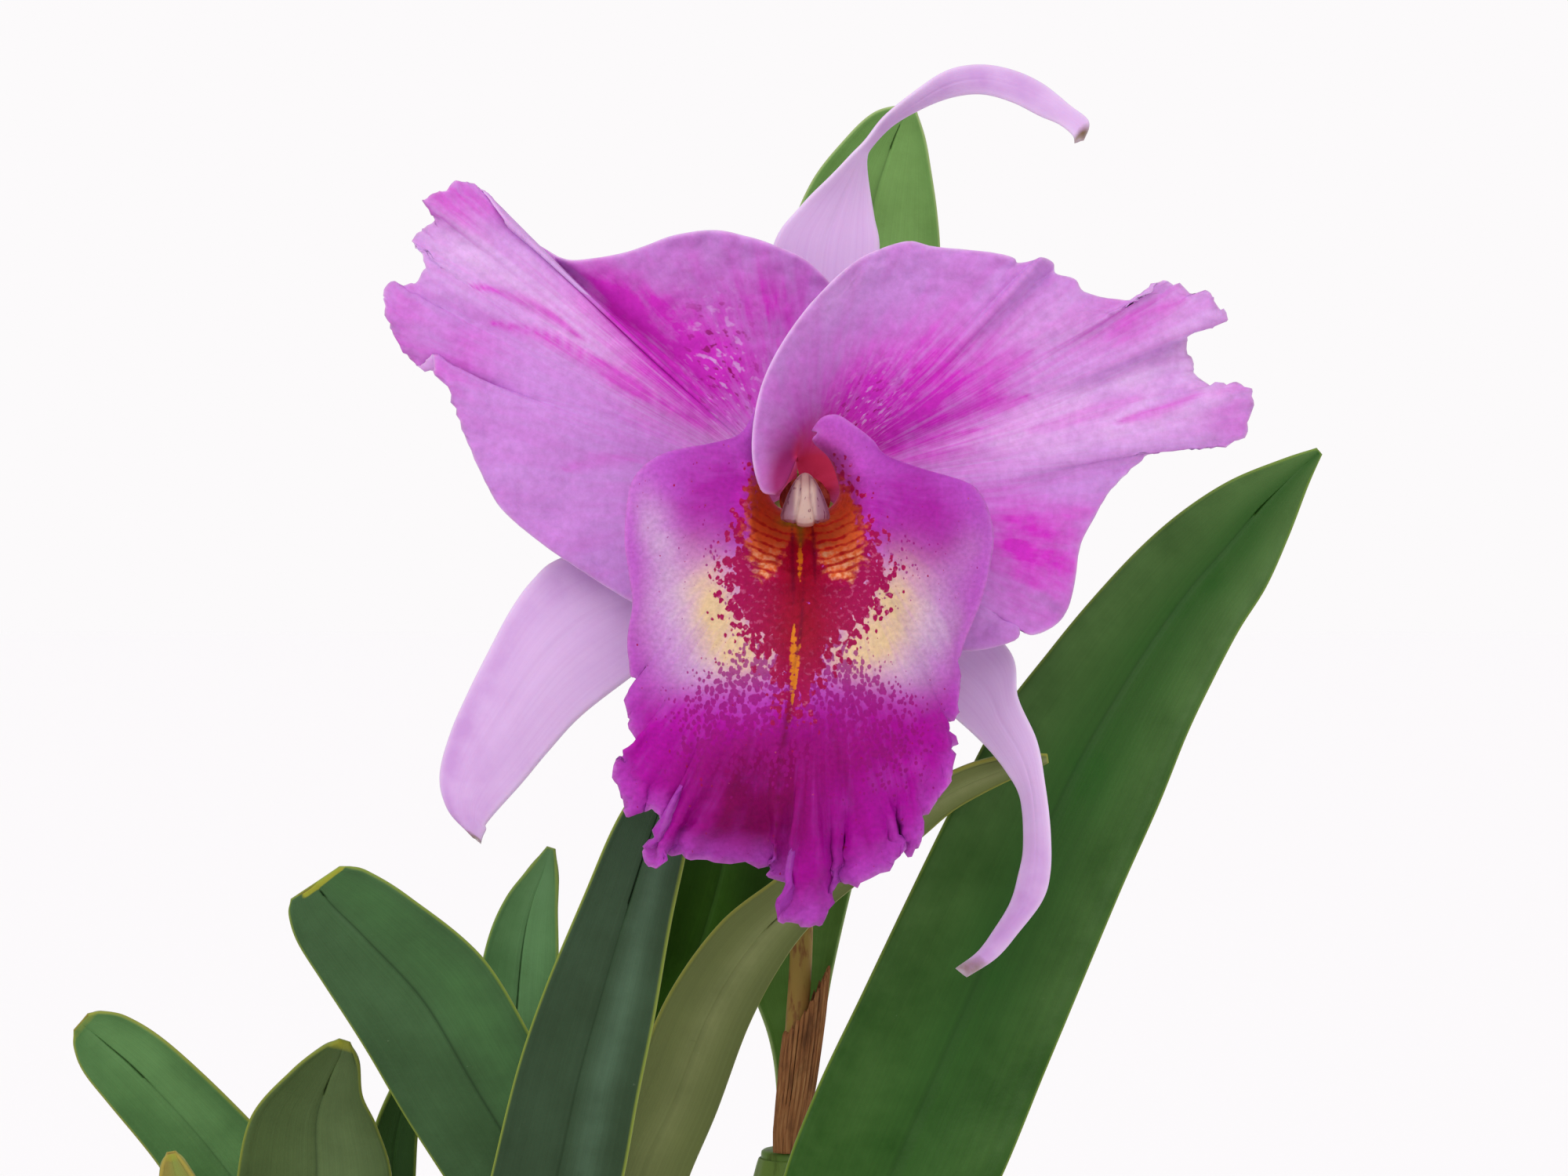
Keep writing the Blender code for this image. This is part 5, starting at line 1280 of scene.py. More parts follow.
# The bulb, where on its top the leaf stands, how far its right edge lies back, how deep its fold is,
# and its midrib from above the foot to the tip as x, z, half width and depth
LEAVES = {
    "leaf_right": ("bulb_right", (0, 0), 2, 0.10, [
        (46.5, 211, 8.5, 5), (50.5, 224, 14, 6), (56.5, 241.5, 18, 8), (63.5, 258, 19, 10),
        (71.5, 276, 18.5, 12), (79.5, 294, 18, 14), (87, 310.5, 17.5, 16), (94.5, 326, 17, 18),
        (102, 339, 15, 20), (108.5, 349, 13.5, 22), (115, 358, 12, 24), (121.5, 365.5, 10.5, 26),
        (128, 373, 7.5, 28), (134.5, 379.5, 3.5, 29), (139, 383.5, 0.8, 30),
    ]),
    "leaf_back": ("bulb_flowering", (0.5, 3), 1, 0.12, [
        (42.5, 266, 3.5, 44), (42.5, 276, 5, 46), (41.5, 287.5, 8, 48), (41, 303.5, 12, 50),
        (42, 315, 14, 52), (45, 336.5, 15.5, 54), (47.5, 358.5, 16.5, 56), (50.5, 380, 16.5, 57),
        (53.3, 401.5, 16.2, 58), (55.2, 420, 14.2, 58), (57, 430, 12, 57), (59.5, 438, 8.5, 56),
        (61.7, 443.5, 5.3, 55), (63.8, 446.8, 1.2, 54),
    ]),
    "leaf_centre": ("bulb_front", (0, 0), -2, 0.16, [
        (-9, 214, 6, -10), (-7.5, 224, 9, -11), (-4.5, 237, 11.5, -12), (-1, 251.5, 12, -13),
        (2.5, 267.5, 11.5, -13), (6.5, 282, 10.5, -13), (11.5, 299, 8.5, -12), (16, 313, 7, -11),
        (20, 323.5, 4.5, -10), (23, 330, 2.5, -10), (24, 333.5, 0.8, -10),
    ]),
    "leaf_arching": ("bulb_middle", (0.8, 2), 5, -0.2, [
        (12.5, 221, 5.5, 7), (11.5, 235.5, 8, 12), (13.5, 250, 9, 15), (20, 264.5, 8.5, 17),
        (26.5, 280.5, 8, 18), (34, 292.5, 7, 18), (42, 300.5, 5.5, 16), (52, 308.5, 5, 13),
        (62, 315, 4.5, 10), (69.5, 320, 3.5, 8), (76.5, 323.5, 3, 7), (84, 326, 2, 6),
        (89, 327, 0.8, 6),
    ]),
    "leaf_left": ("bulb_middle", (-0.8, -2), -2, 0.12, [
        (12.5, 215.5, 5.5, 0), (8, 224, 9, 0), (1, 237, 12.5, 0), (-7.5, 251.5, 13.5, 1),
        (-17, 267, 14, 2), (-26, 282, 14, 3), (-36.5, 293.5, 11.5, 4), (-42.5, 299.5, 9.5, 5),
        (-45, 302.5, 7.5, 5), (-46, 304, 5.5, 5),
    ]),
    "leaf_far_left": ("bulb_far_left", (-0.5, -2), -1, 0.12, [
        (-35, 207.5, 4.5, 31), (-39.5, 215.5, 6.5, 31), (-45.5, 225.5, 8.5, 31), (-52.5, 237, 10, 30),
        (-60.5, 248.5, 10, 30), (-69, 259, 9, 30), (-78.5, 269, 8, 30), (-84.5, 274.3, 6.6, 31),
        (-87.6, 277, 4.4, 32), (-89.2, 278.4, 2, 32),
    ]),
    "leaf_blunt": ("bulb_left", (1, 2), 2, 0.14, [
        (-49, 208, 5, 12), (-48, 217, 8.5, 13), (-47.5, 227, 12.5, 14), (-46.5, 238.5, 14, 15),
        (-46, 250, 14, 15), (-46, 260, 11.5, 16), (-43.8, 267, 7, 16), (-41.5, 272, 4, 16),
        (-40.5, 275, 1, 16),
    ]),
    "leaf_young": ("bulb_left", (-1, -2), 0, 0.2, [
        (-55, 210.5, 3.5, 7), (-60, 219, 5, 6), (-64.5, 228.5, 6, 5), (-68, 237, 5.5, 5),
        (-70.5, 245.5, 4.5, 5), (-72, 251.5, 2.5, 5), (-72.5, 254.5, 0.8, 5),
    ]),
    "leaf_narrow": ("bulb_far_left", (0.5, 2), 1, 0.14, [
        (-34.5, 215.5, 3, 38), (-33, 227, 4, 40), (-32.5, 238.5, 4.5, 40), (-32, 250, 4.5, 40),
        (-31, 258.5, 4, 40), (-28.5, 267.5, 2.5, 39), (-26, 274.5, 0.8, 38),
    ]),
    "leaf_upright": ("bulb_back", (-0.5, -2), -1, 0.14, [
        (-3, 230, 5.5, 31), (-6, 244, 7, 30), (-8, 258.5, 7.5, 30), (-9, 273, 8, 29),
        (-8.5, 284.5, 7.5, 29), (-7.5, 293.5, 6.5, 29), (-6, 300, 5, 29), (-4, 305.5, 3, 29),
        (-2.5, 310.5, 0.8, 29),
    ]),
    "leaf_shaded": ("bulb_back", (0.5, 2), 1, 0.14, [
        (4, 230, 5, 37), (8, 244, 8, 40), (12, 258.5, 10, 42), (18, 274.5, 11.5, 43),
        (23.5, 289, 12, 44), (28, 303.5, 11, 44), (31, 318, 9, 44), (33.5, 329.5, 5, 44),
        (35, 336, 0.8, 44),
    ]),
}


# %% A leaf's surface
GROOVE_DEPTH, GROOVE_WIDTH = 0.45, 0.045
LEAF_WAVE_SIZE, LEAF_WAVE = 26, 0.55
LEAF_RIM_TURN = 0.35


def leaf_places(bulb, stand, lean, fold, rows):
    top = BULBS[bulb][1]
    rows = np.array(rows, float)
    foot = (top[0] + stand[0], top[1] + stand[1], top[2] - FOOT_SUNK)
    middle = np.vstack([foot, seen(rows[:, [0, 1, 3]])])
    half = np.append(LEAF_FOOT_HALF, rows[:, 2] * (1 + rows[:, 3] / VIEW_DISTANCE))
    way = np.gradient(middle, axis=0)
    across = np.column_stack([way[:, 2], np.zeros(len(way)), -way[:, 0]])
    across /= np.linalg.norm(across, axis=1, keepdims=True)
    across[0] = (1, 0, 0)
    back = np.column_stack([np.zeros(len(half)), lean * half / half.max(), np.zeros(len(half))])
    back[0] = 0
    sag = fold * half
    sag[0] = 0
    left = middle - half[:, None] * across - back
    right = middle + half[:, None] * across + back
    return ladder(left, right, LEAF_GRID, sag)


def leaf_relief(places, seed):
    """The midrib's groove and long shallow waves, pressed into a leaf's depth."""
    up, side = shares(LEAF_GRID, -1)
    places = places.copy()
    calm = rise(up, 0.02, 0.15) * rise(1 - up, 0.02, 0.12)
    places[..., 1] += GROOVE_DEPTH * hill(side, 0, GROOVE_WIDTH) * calm
    swell = wander(places[..., [0, 2]], LEAF_WAVE_SIZE, seed, 2)
    places[..., 1] += LEAF_WAVE * swell * calm
    places[..., 1] -= LEAF_RIM_TURN * hill(np.abs(side), 0.97, 0.08) * calm
    return places, up, side


# %% [markdown]
# ## Leaf skin
#
# A leaf's upper skin is waxed and leathery: dark green, with straight faint veins from foot to tip, a
# darker line in the midrib's groove, a yellow-green rim as thin as a thread, and a few pale scars. Old
# and shaded leaves differ in their greens only, so one function takes the greens of each.

# %% The leaf skin
def leaf_skin(name, low, high, half_colour, rim_colour, groove, gloss=0.36, wear=0.5):
    """LOW and HIGH are the greens at foot and tip, HALF_COLOUR that of the side turned to the light."""
    material, put, shader = skin(name, gloss, (0.04, 0.001), Coat_Weight=0.04, Coat_Roughness=0.35)
    along, flat, layer = read_maps(put, "up", "side", "yellow", "brown", "light")
    vein_place = put("stretch", along, (1.2, 60, 1))
    vein = put("noise", vein_place, Scale=1, Detail=3, Roughness=0.6)
    cloud = put("noise", flat, Scale=7, Detail=6, Roughness=0.6)
    grain = put("noise", flat, Scale=120, Detail=3)
    climb = put("ADD", layer["up"], cloud)
    climb = put("range", climb, 0.55, 1.45)
    colour = put("mix", climb, low, high)
    lit = put("MULTIPLY", layer["light"], cloud, use_clamp=True)
    lit = put("MULTIPLY", lit, 1.7, use_clamp=True)
    colour = put("mix", lit, colour, half_colour)
    toned = put("ADD", vein, cloud)
    toned = put("range", toned, 0.7, 1.3, 0.88, 1.10)
    colour = put("tint", 1, colour, toned)
    line = put("ABSOLUTE", layer["side"])
    line = put("range", line, 0.055, 0, 0, groove)
    colour = put("mix", line, colour, "14280F")
    # Pale scars and short dark wrinkles
    scar_place = put("stretch", flat, (1, 2.2, 1), Rotation=(0, 0, 0.5))
    scar = put("noise", scar_place, Scale=26, Detail=5, Roughness=0.7)
    scarred = put("range", scar, 0.70, 0.78, 0, wear)
    colour = put("mix", scarred, colour, "A9B79A")
    dark = put("range", scar, 0.30, 0.22, 0, wear)
    colour = put("mix", dark, colour, "122009")
    for which, start, most, over in (("yellow", 0.85, 0.85, "9A9A2E"), ("brown", 1, 1, "5A3A1E")):
        dying = put("range", put("ADD", layer[which], cloud), start, 1.15, 0, most)
        colour = put("mix", dying, colour, over)
    edge = put("range", layer["rim"], 0.88, 1, 0, 0.85)
    colour = put("mix", edge, colour, rim_colour)
    behind = put("mix", 0.45, colour, "7C9060")
    colour = put("mix", layer["front"], behind, colour)
    relief = put("ADD", vein, grain)
    paint(shader, colour, put("bump", relief, 0.3, 0.0003))
    return material


# Greens at foot, tip and lit side, rim colour, how dark the groove is, gloss and wear
LEAF_LOOKS = {
    "leaf_right": ("22490E", "4E6E38", "28521A", "7C943A", 0.22, 0.38, 0.25),
    "leaf_back": ("527A2C", "66904A", "739C54", "A8BC7C", 0.3, 0.42, 0.2),
    "leaf_centre": ("293C24", "334832", "435A44", "8E9C3A", 0.5, 0.42, 0.3),
    "leaf_arching": ("6A7442", "66703C", "7E8654", "A0A040", 0.0, 0.5, 0.3),
    "leaf_left": ("294320", "3D5A37", "3E6236", "88983A", 0.6, 0.38, 0.4),
    "leaf_far_left": ("335729", "4A703D", "547A46", "929438", 0.3, 0.42, 0.4),
    "leaf_blunt": ("384824", "46582E", "50623A", "848C34", 0.45, 0.4, 0.6),
    "leaf_young": ("5C7430", "8C7C3C", "7C8840", "A09040", 0.2, 0.45, 0.3),
    "leaf_narrow": ("2A441A", "345424", "36562A", "80903A", 0.3, 0.42, 0.3),
    "leaf_upright": ("3E6838", "5A8250", "628C5A", "8CA044", 0.3, 0.4, 0.3),
    "leaf_shaded": ("1E3C04", "284A0C", "3A6418", "7C902E", 0.3, 0.42, 0.2),
}
# Where the light of the window lies on a leaf: its side, from -1 to 1, and how wide it is
LEAF_LIGHT = {
    "leaf_centre": (0.42, 0.24), "leaf_left": (0.55, 0.5), "leaf_arching": (0.1, 0.4),
    "leaf_shaded": (0.1, 0.3), "leaf_right": (0.1, 0.5),
}

# %% The leaves' pieces
for seed, (node, (bulb, stand, lean, fold, rows)) in enumerate(LEAVES.items()):
    places, up, side = leaf_relief(leaf_places(bulb, stand, lean, fold, rows), 40 + seed)
    middle, width = LEAF_LIGHT.get(node, (0.3, 0.6))
    layers = {
        "up": up,
        "side": side,
        "light": hill(side, middle, width) * rise(up, 0.1, 0.4),
        "yellow": np.zeros_like(up),
        "brown": np.zeros_like(up),
    }
    if node == "leaf_left":
        layers["yellow"] = rise(up, 0.90, 0.965) * rise(side, -0.75, -0.3)
        layers["brown"] = rise(up, 0.965, 0.995) * hill(side, -0.35, 0.5)
    elif node in ("leaf_young", "leaf_far_left"):
        layers["brown"] = 0.8 * rise(up, 0.96, 1.0)
        layers["yellow"] = 0.5 * rise(up, 0.8, 0.97)
    elif node == "leaf_blunt":
        layers["yellow"] = 0.6 * rise(up, 0.86, 0.97)
    green = leaf_skin(node.replace("_", " "), *LEAF_LOOKS[node])
    piece = sheet(node + "_skin", places, LEAF_THICKNESS, LEAF_RIM, green, front_view(places), layers)
    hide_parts(node)
print(len(LEAVES), "leaves of", len(piece.data.polygons), "faces each")

# %% [markdown]
# ## The pseudobulbs
#
# A cattleya stores water in upright clubs called pseudobulbs. They shrink and grow lengthwise furrows
# with age, and dry silvery skins cling to their lower parts. The photo's lower edge cuts them off, so
# they follow the genus: slim at the foot, widest above the middle, with a scar ring at each joint.

# %% The pseudobulbs
RHIZOME_RADIUS, ROOT_RADIUS, BARK_TOP = 4.5, 1.6, 108
RHIZOME_Z = BARK_TOP + 0.3 + RHIZOME_RADIUS
BULB_PROFILE = [(0.07, 0.46), (0.2, 0.66), (0.38, 0.88), (0.58, 1), (0.76, 0.88), (0.9, 0.62)]
BULB_FOOT_RADIUS, BULB_LEAN, BULB_NECK, BULB_GAP = 3.6, 1.3, (3, 1.15), 0.3
BULB_JOINTS = [0.12, 0.3, 0.52, 0.78]


def bulb_rows(foot, top, radius, top_radius):
    foot_z = RHIZOME_Z + RHIZOME_RADIUS + BULB_GAP
    height = top[2] - foot_z
    rows = [(*foot, foot_z, BULB_FOOT_RADIUS)]
    for share, wide in BULB_PROFILE:
        lean = share**BULB_LEAN
        x = foot[0] + (top[0] - foot[0]) * lean
        y = foot[1] + (top[1] - foot[1]) * lean
        rows.append((x, y, foot_z + height * share, radius * wide))
    rows[1] = (*foot, rows[1][2], rows[1][3])
    rows.append((top[0], top[1], top[2] - BULB_NECK[0], top_radius * BULB_NECK[1]))
    rows.append((*top, top_radius))
    return np.array(rows)


def furrowed(count, depth, seed):
    """Furrows of uneven depth along a bulb, fading at both its ends, and a thin ring at each joint."""
    draw = random.Random(seed)
    depths = [draw.uniform(0.5, 1) for _ in range(count)]
    turns = [2 * math.pi * (number + draw.uniform(-0.25, 0.25)) / count for number in range(count)]

    def relief(angle, share):
        scale = 1 + 0 * angle
        for turn, deep in zip(turns, depths):
            away = np.abs((angle - turn + np.pi) % (2 * np.pi) - np.pi)
            furrow = hill(away, 0, 1.1 / count) * rise(share, 0.12, 0.35) * rise(1 - share, 0.04, 0.2)
            scale -= depth * deep * furrow
        for joint in BULB_JOINTS:
            scale += 0.025 * hill(share, joint, 0.006) - 0.03 * hill(share, joint + 0.012, 0.006)
        return scale

    return relief


young_bulb = plant_skin("pseudobulb skin, green", 0.4, "8A8F4C", "5F7F38", "4E5E2A", 0.0016, 0.12)
aged_bulb = plant_skin("pseudobulb skin, yellowed", 0.5, "8C7A48", "8B8F4A", "5C4A2C", 0.0018, 0.12)
# The skin, the number of furrows, their depth and how far up the dry skins reach
BULB_LOOKS = {
    "bulb_flowering": (young_bulb, 9, 0.05, 0.36),
    "bulb_right": (young_bulb, 9, 0.06, 0.46),
    "bulb_middle": (young_bulb, 10, 0.09, 0.5),
    "bulb_front": (aged_bulb, 11, 0.12, 0.42),
    "bulb_left": (aged_bulb, 11, 0.13, 0.55),
    "bulb_far_left": (aged_bulb, 11, 0.12, 0.4),
    "bulb_back": (young_bulb, 10, 0.08, 0.5),
    "bulb_leafless": (aged_bulb, 12, 0.19, 0.3),
}
bulb_lines = {node: bulb_rows(*numbers) for node, numbers in BULBS.items()}
for seed, (node, (material, count, depth, _)) in enumerate(BULB_LOOKS.items()):
    shape = stem(bulb_lines[node], 64, 80, furrowed(count, depth, seed), dome=0.1)
    piece = stems(node + "_flesh", [shape], material)
    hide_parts(node)
print(len(BULBS), "pseudobulbs of", len(piece.data.polygons), "faces each")

# %% [markdown]
# ## Dry skins
#
# Each skin is a sheet wrapped round its bulb with an open seam and a torn upper rim. The tear comes from
# the sum of a few waves of different lengths, so that long and short shreds stand side by side.

# %% The dry skins on the bulbs
bulb_paper = papery_skin("dry bulb skin, silver paper", "C9BFA8", "A39478", "6E5C42", 60.0)
SKIN_GRID = (84, 24)
PAPER_THICKNESS, PAPER_RIM = 0.25, 0.3


def wrapped(rows, start, turn, arc, high, loose, seed):
    """A dry skin on a bulb from the share START to the share HIGH of its height."""
    draw = random.Random(seed)
    angle = np.radians(turn + np.linspace(0, arc, SKIN_GRID[0]))[:, None]
    share = np.linspace(0, 1, SKIN_GRID[1])[None, :]
    tear = sum(
        size * np.sin(waves * angle + draw.uniform(0, 6))
        for waves, size in ((3, 0.10), (7, 0.06), (17, 0.035), (41, 0.02), (67, 0.012))
    )
    up = start + (high * (1 + tear) - start) * share
    at = spline(rows, up)
    seam = np.clip((np.radians(turn + arc) - angle) / 0.5, 0, 1)
    radius = at[..., 3] + 0.35 + loose * share**2 + 0.5 * (1 - seam) + 0.12 * np.cos(37 * angle) * share
    return np.stack([
        at[..., 0] + radius * np.cos(angle), at[..., 1] + radius * np.sin(angle), at[..., 2]
    ], -1)


dry_skins = []
for seed, (node, (_, _, _, reach)) in enumerate(BULB_LOOKS.items()):
    for number, (start, high, loose, arc) in enumerate((
        (0.02, 0.45 * reach, 0.9, 338), (0.3 * reach, reach, 1.3, 322),
    )):
        turn = 77 * seed + 150 * number
        places = wrapped(bulb_lines[node], start, turn, arc, high, loose, 10 * seed + number)
        name = f"{node}_dry_skin_{number + 1}"
        piece = sheet(name, places, PAPER_THICKNESS, PAPER_RIM, bulb_paper, front_view(places))
        dry_skins.append(piece)
print(len(dry_skins), "dry skins of", len(piece.data.polygons), "faces each")

# %% [markdown]
# ## The rhizome and the roots
#
# The creeping stem joins the pseudobulbs in two shoots. Dry bracts leave a ring at every joint. Its roots
# are thick and coated in silver-white velamen, a spongy skin that drinks rain, with a green growing tip.
# They leave the stem sideways, cross the bark and dive between the chips.

# %% The rhizome
FRONT_SHOOT = ["bulb_leafless", "bulb_left", "bulb_front", "bulb_middle", "bulb_right"]
BACK_SHOOT = ["bulb_leafless", "bulb_far_left", "bulb_back", "bulb_flowering"]
SHOOT_TIP, SHOOT_TIP_RADIUS = 9, 1.8
RINGS_BETWEEN_BULBS = 4

rhizome_skin = plant_skin(
    "rhizome skin, brown", 0.7, "7A6440", "8A7A4C", "4A3A26", 0.0012, 1.0, (0.48, 0.62), 0.7
)


def shoot_line(shoot):
    feet = np.array([BULBS[name][0] for name in shoot], float)
    ahead = feet[-1] + (feet[-1] - feet[-2]) / np.linalg.norm(feet[-1] - feet[-2]) * SHOOT_TIP
    line = spline(np.vstack([feet, ahead]), np.linspace(0, 1, 2 * len(feet) + 1))
    radii = np.full(len(line), RHIZOME_RADIUS)
    radii[-1] = SHOOT_TIP_RADIUS
    return np.column_stack([line, np.full(len(line), RHIZOME_Z), radii])


def ringed(shoot):
    """A ring at every joint of the stem, with a dip ahead of it."""
    count = RINGS_BETWEEN_BULBS * len(shoot)

    def relief(angle, share):
        place = (share * count) % 1
        return 1 - 0.10 * hill(place, 0.12, 0.12) + 0.05 * hill(place, 0.0, 0.08) + 0.02 * np.cos(9 * angle)

    return relief


shoots = [
    stem(shoot_line(shoot), 36, 150, ringed(shoot), dome=0.9) for shoot in (FRONT_SHOOT, BACK_SHOOT)
]
rhizome = stems("rhizome_skin", shoots, rhizome_skin)
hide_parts("rhizome")

# %% The roots
ROOTS = {
    "bulb_leafless": 0, "bulb_left": 270, "bulb_front": 290, "bulb_middle": 300,
    "bulb_right": 320, "bulb_far_left": 70, "bulb_back": 80, "bulb_flowering": 340,
}
ROOT_PATH = [(0, RHIZOME_Z), (6, 112.5), (10, 111), (13, 105), (14, 92), (15, 78)]
# More roots beside those of the solids: the bulb, the way the root leaves, its reach and its bend
MORE_ROOTS = [
    ("bulb_left", 215, 15, 30), ("bulb_left", 100, 12, -24), ("bulb_front", 235, 20, 34),
    ("bulb_front", 120, 10, 20), ("bulb_middle", 250, 22, -36), ("bulb_middle", 75, 11, 20),
    ("bulb_right", 250, 18, 30), ("bulb_right", 30, 11, -20), ("bulb_far_left", 140, 11, 22),
    ("bulb_back", 130, 13, 26), ("bulb_back", 35, 12, -24), ("bulb_flowering", 80, 12, 26),
    ("bulb_leafless", 240, 8, 16), ("bulb_flowering", 300, 12, -24),
]
ROOT_WANDER = 0.9

velamen, put, shader = skin("root velamen, silver", 0.8, (0.06, 0.001))
place = put("place")
grow = put("layer", attribute_name="up")
cloud = put("noise", place, Scale=140, Detail=5, Roughness=0.65)
pore = put("noise", place, Scale=1100, Detail=3)
colour = put("ramp", cloud, stops=[(0.32, "7E7358"), (0.5, "B3AA92"), (0.68, "D8D2C2")])
greener = put("range", grow, 0.30, 0, 0, 0.5)
colour = put("mix", greener, colour, "7E8A50")
relief = put("ADD", cloud, pore)
paint(shader, colour, put("bump", relief, 0.5, 0.0004))


def lumpy(seed):
    """Slow swellings along a root."""

    def relief(angle, share):
        return 1 + 0.07 * np.sin(17 * share + seed) + 0.05 * np.sin(41 * share + 2 * seed + angle)

    return relief


shapes = []
for seed, (name, turn) in enumerate(ROOTS.items()):
    x, y = BULBS[name][0]
    way = np.array([math.cos(math.radians(turn)), math.sin(math.radians(turn))])
    rows = [(x + out * way[0], y + out * way[1], z, ROOT_RADIUS) for out, z in ROOT_PATH]
    shapes.append(stem(rows, 16, 44, lumpy(seed), dome=0.9))
for seed, (name, turn, reach, bend) in enumerate(MORE_ROOTS):
    x, y = BULBS[name][0]
    rows = []
    for step, share in enumerate(np.linspace(0, 1, 7)):
        heading = math.radians(turn + bend * share)
        height = RHIZOME_Z - 1.5 - 3.2 * share - 14 * max(share - 0.55, 0) ** 1.3
        sideways = ROOT_WANDER * math.sin(5 * share + seed)
        rows.append((
            x + reach * share * math.cos(heading) - sideways * math.sin(heading),
            y + reach * share * math.sin(heading) + sideways * math.cos(heading),
            height,
            ROOT_RADIUS * (0.95 - 0.2 * share),
        ))
    shapes.append(stem(rows, 16, 40, lumpy(30 + seed), dome=0.9))
roots = stems("root_velamen", shapes, velamen)
print("rhizome", len(rhizome.data.polygons), "faces")
print(len(shapes), "roots", len(roots.data.polygons), "faces")

# %% [markdown]
# ## The pot
#
# A plain clay flowerpot: a tapering wall with a rim band, turned on a wheel. Its outline is rounded at
# every corner and spun round the Z axis, and four drain holes are cut through its floor.

# %% The pot's outline
POT_HEIGHT, POT_RADIUS, POT_FOOT_RADIUS, POT_WALL, POT_FLOOR = 120, 70, 47, 6, 8
RIM_HEIGHT, RIM_STEP, RIM_TAPER, POT_EDGE = 22, 5, 0.12, 1.5
DRAIN_RADIUS, DRAIN_CIRCLE, DRAIN_TURN = 6, 24, 40.5
POT_STEPS = 128
NECK = POT_HEIGHT - RIM_HEIGHT


def pot_outer(z):
    return POT_FOOT_RADIUS + (POT_RADIUS - RIM_STEP - POT_FOOT_RADIUS) * z / NECK


def pot_inner(z):
    return pot_outer(min(z, NECK)) - POT_WALL + RIM_TAPER * max(z - NECK, 0)


def rounded(corners, arc_steps=5):
    """A line through corners of radius, height and rounding, with a curve in place of each corner."""
    points = []
    for number, (radius, height, soft) in enumerate(corners):
        here = np.array([radius, height], float)
        if number in (0, len(corners) - 1) or not soft:
            points.append(here)
            continue
        before, after = (np.array(corners[other][:2], float) for other in (number - 1, number + 1))
        start = here + (before - here) * min(0.45, soft / np.linalg.norm(before - here))
        end = here + (after - here) * min(0.45, soft / np.linalg.norm(after - here))
        for share in np.linspace(0, 1, arc_steps):
            points.append((1 - share) ** 2 * start + 2 * share * (1 - share) * here + share**2 * end)
    return points


def finer(points, longest):
    """The same line with no step longer than LONGEST."""
    line = [points[0]]
    for a, b in zip(points, points[1:]):
        count = max(1, math.ceil(np.linalg.norm(np.subtract(b, a)) / longest))
        line += [np.asarray(a) + (np.asarray(b) - a) * step / count for step in range(1, count + 1)]
    return np.array(line)


def turned(name, profile, steps):
    """A closed body turned round the Z axis, from a profile that starts and ends on the axis."""
    angle = np.linspace(0, 2 * np.pi, steps, endpoint=False)
    radius, height = profile[-2:0:-1, 0, None], profile[-2:0:-1, 1, None]
    rings = np.stack([radius * np.cos(angle), radius * np.sin(angle), height + 0 * angle], -1)
    points, faces = tube(rings, (0, 0, profile[-1, 1]), (0, 0, profile[0, 1]))
    # Starting each square at its last corner cuts it along its other diagonal
    return smooth_mesh(name, points, [face[3:] + face[:3] for face in faces])


pot_profile = finer(rounded([
    (0, POT_FLOOR, 0),
    (pot_inner(POT_FLOOR), POT_FLOOR, 3),
    (pot_inner(NECK), NECK, 4),
    (pot_inner(POT_HEIGHT), POT_HEIGHT, 2.2),
    (POT_RADIUS, POT_HEIGHT, 2.2),
    (POT_RADIUS - 1, NECK, 1.6),
    (pot_outer(NECK), NECK, 0.8),
    (pot_outer(0), 0, 1.6),
    (0, 0, 0),
]), 4)
print("pot outline", len(pot_profile), "points")

# %% [markdown]
# Fired clay is porous. Lime and salts that water carries through the wall dry on its outside as a white
# bloom, strongest low down and under the rim. The turning leaves fine level rings.

# %% The pot
clay, put, shader = skin("terracotta with lime bloom", 0.82)
place = put("place")
height = put("ShaderNodeSeparateXYZ", place, out=2)
cloud = put("noise", place, Scale=22, Detail=7, Roughness=0.65)
warm = put("ramp", cloud, stops=[(0.3, "A4522F"), (0.52, "B8643F"), (0.72, "C77B54")])
sand = put("noise", place, Scale=1400, Detail=3)
speck = put("range", sand, 0.62, 0.72, 0, 0.5)
colour = put("mix", speck, warm, "8A4527")
bloom = put("noise", place, Scale=38, Detail=8, Roughness=0.72)
low_down = put("range", height, 0.05, 0, 0, 0.16)
near_rim = put("range", height, 0.085, 0.098, 0, 0.07)
bloom = put("ADD", bloom, low_down)
bloom = put("ADD", bloom, near_rim)
bloom = put("range", bloom, 0.54, 0.74, 0, 0.6)
colour = put("mix", bloom, colour, "DCC9B8")
turns = put("stretch", place, (6, 6, 900))
turns = put("noise", turns, Scale=1, Detail=2)
relief = put("ADD", turns, sand)
paint(shader, colour, put("bump", relief, 0.35, 0.0004))

whole = bpy.data.objects.new("whole pot", turned("whole pot", pot_profile, POT_STEPS))
scene.collection.objects.link(whole)
cutters = []
for number in range(4):
    turn = math.radians(DRAIN_TURN + 90 * number)
    shape = bmesh.new()
    bmesh.ops.create_cone(
        shape, cap_ends=True, segments=40, depth=3 * POT_FLOOR * MM,
        radius1=DRAIN_RADIUS * MM, radius2=DRAIN_RADIUS * MM,
    )
    mesh = bpy.data.meshes.new("drain")
    shape.to_mesh(mesh)
    shape.free()
    cutter = bpy.data.objects.new("drain", mesh)
    middle = (DRAIN_CIRCLE * math.cos(turn), DRAIN_CIRCLE * math.sin(turn), POT_FLOOR / 2)
    cutter.location = Vector(middle) * MM
    scene.collection.objects.link(cutter)
    cutters.append(cutter)
    cut = whole.modifiers.new("drain", "BOOLEAN")
    cut.object = cutter
    cut.operation = "DIFFERENCE"
    cut.solver = "EXACT"
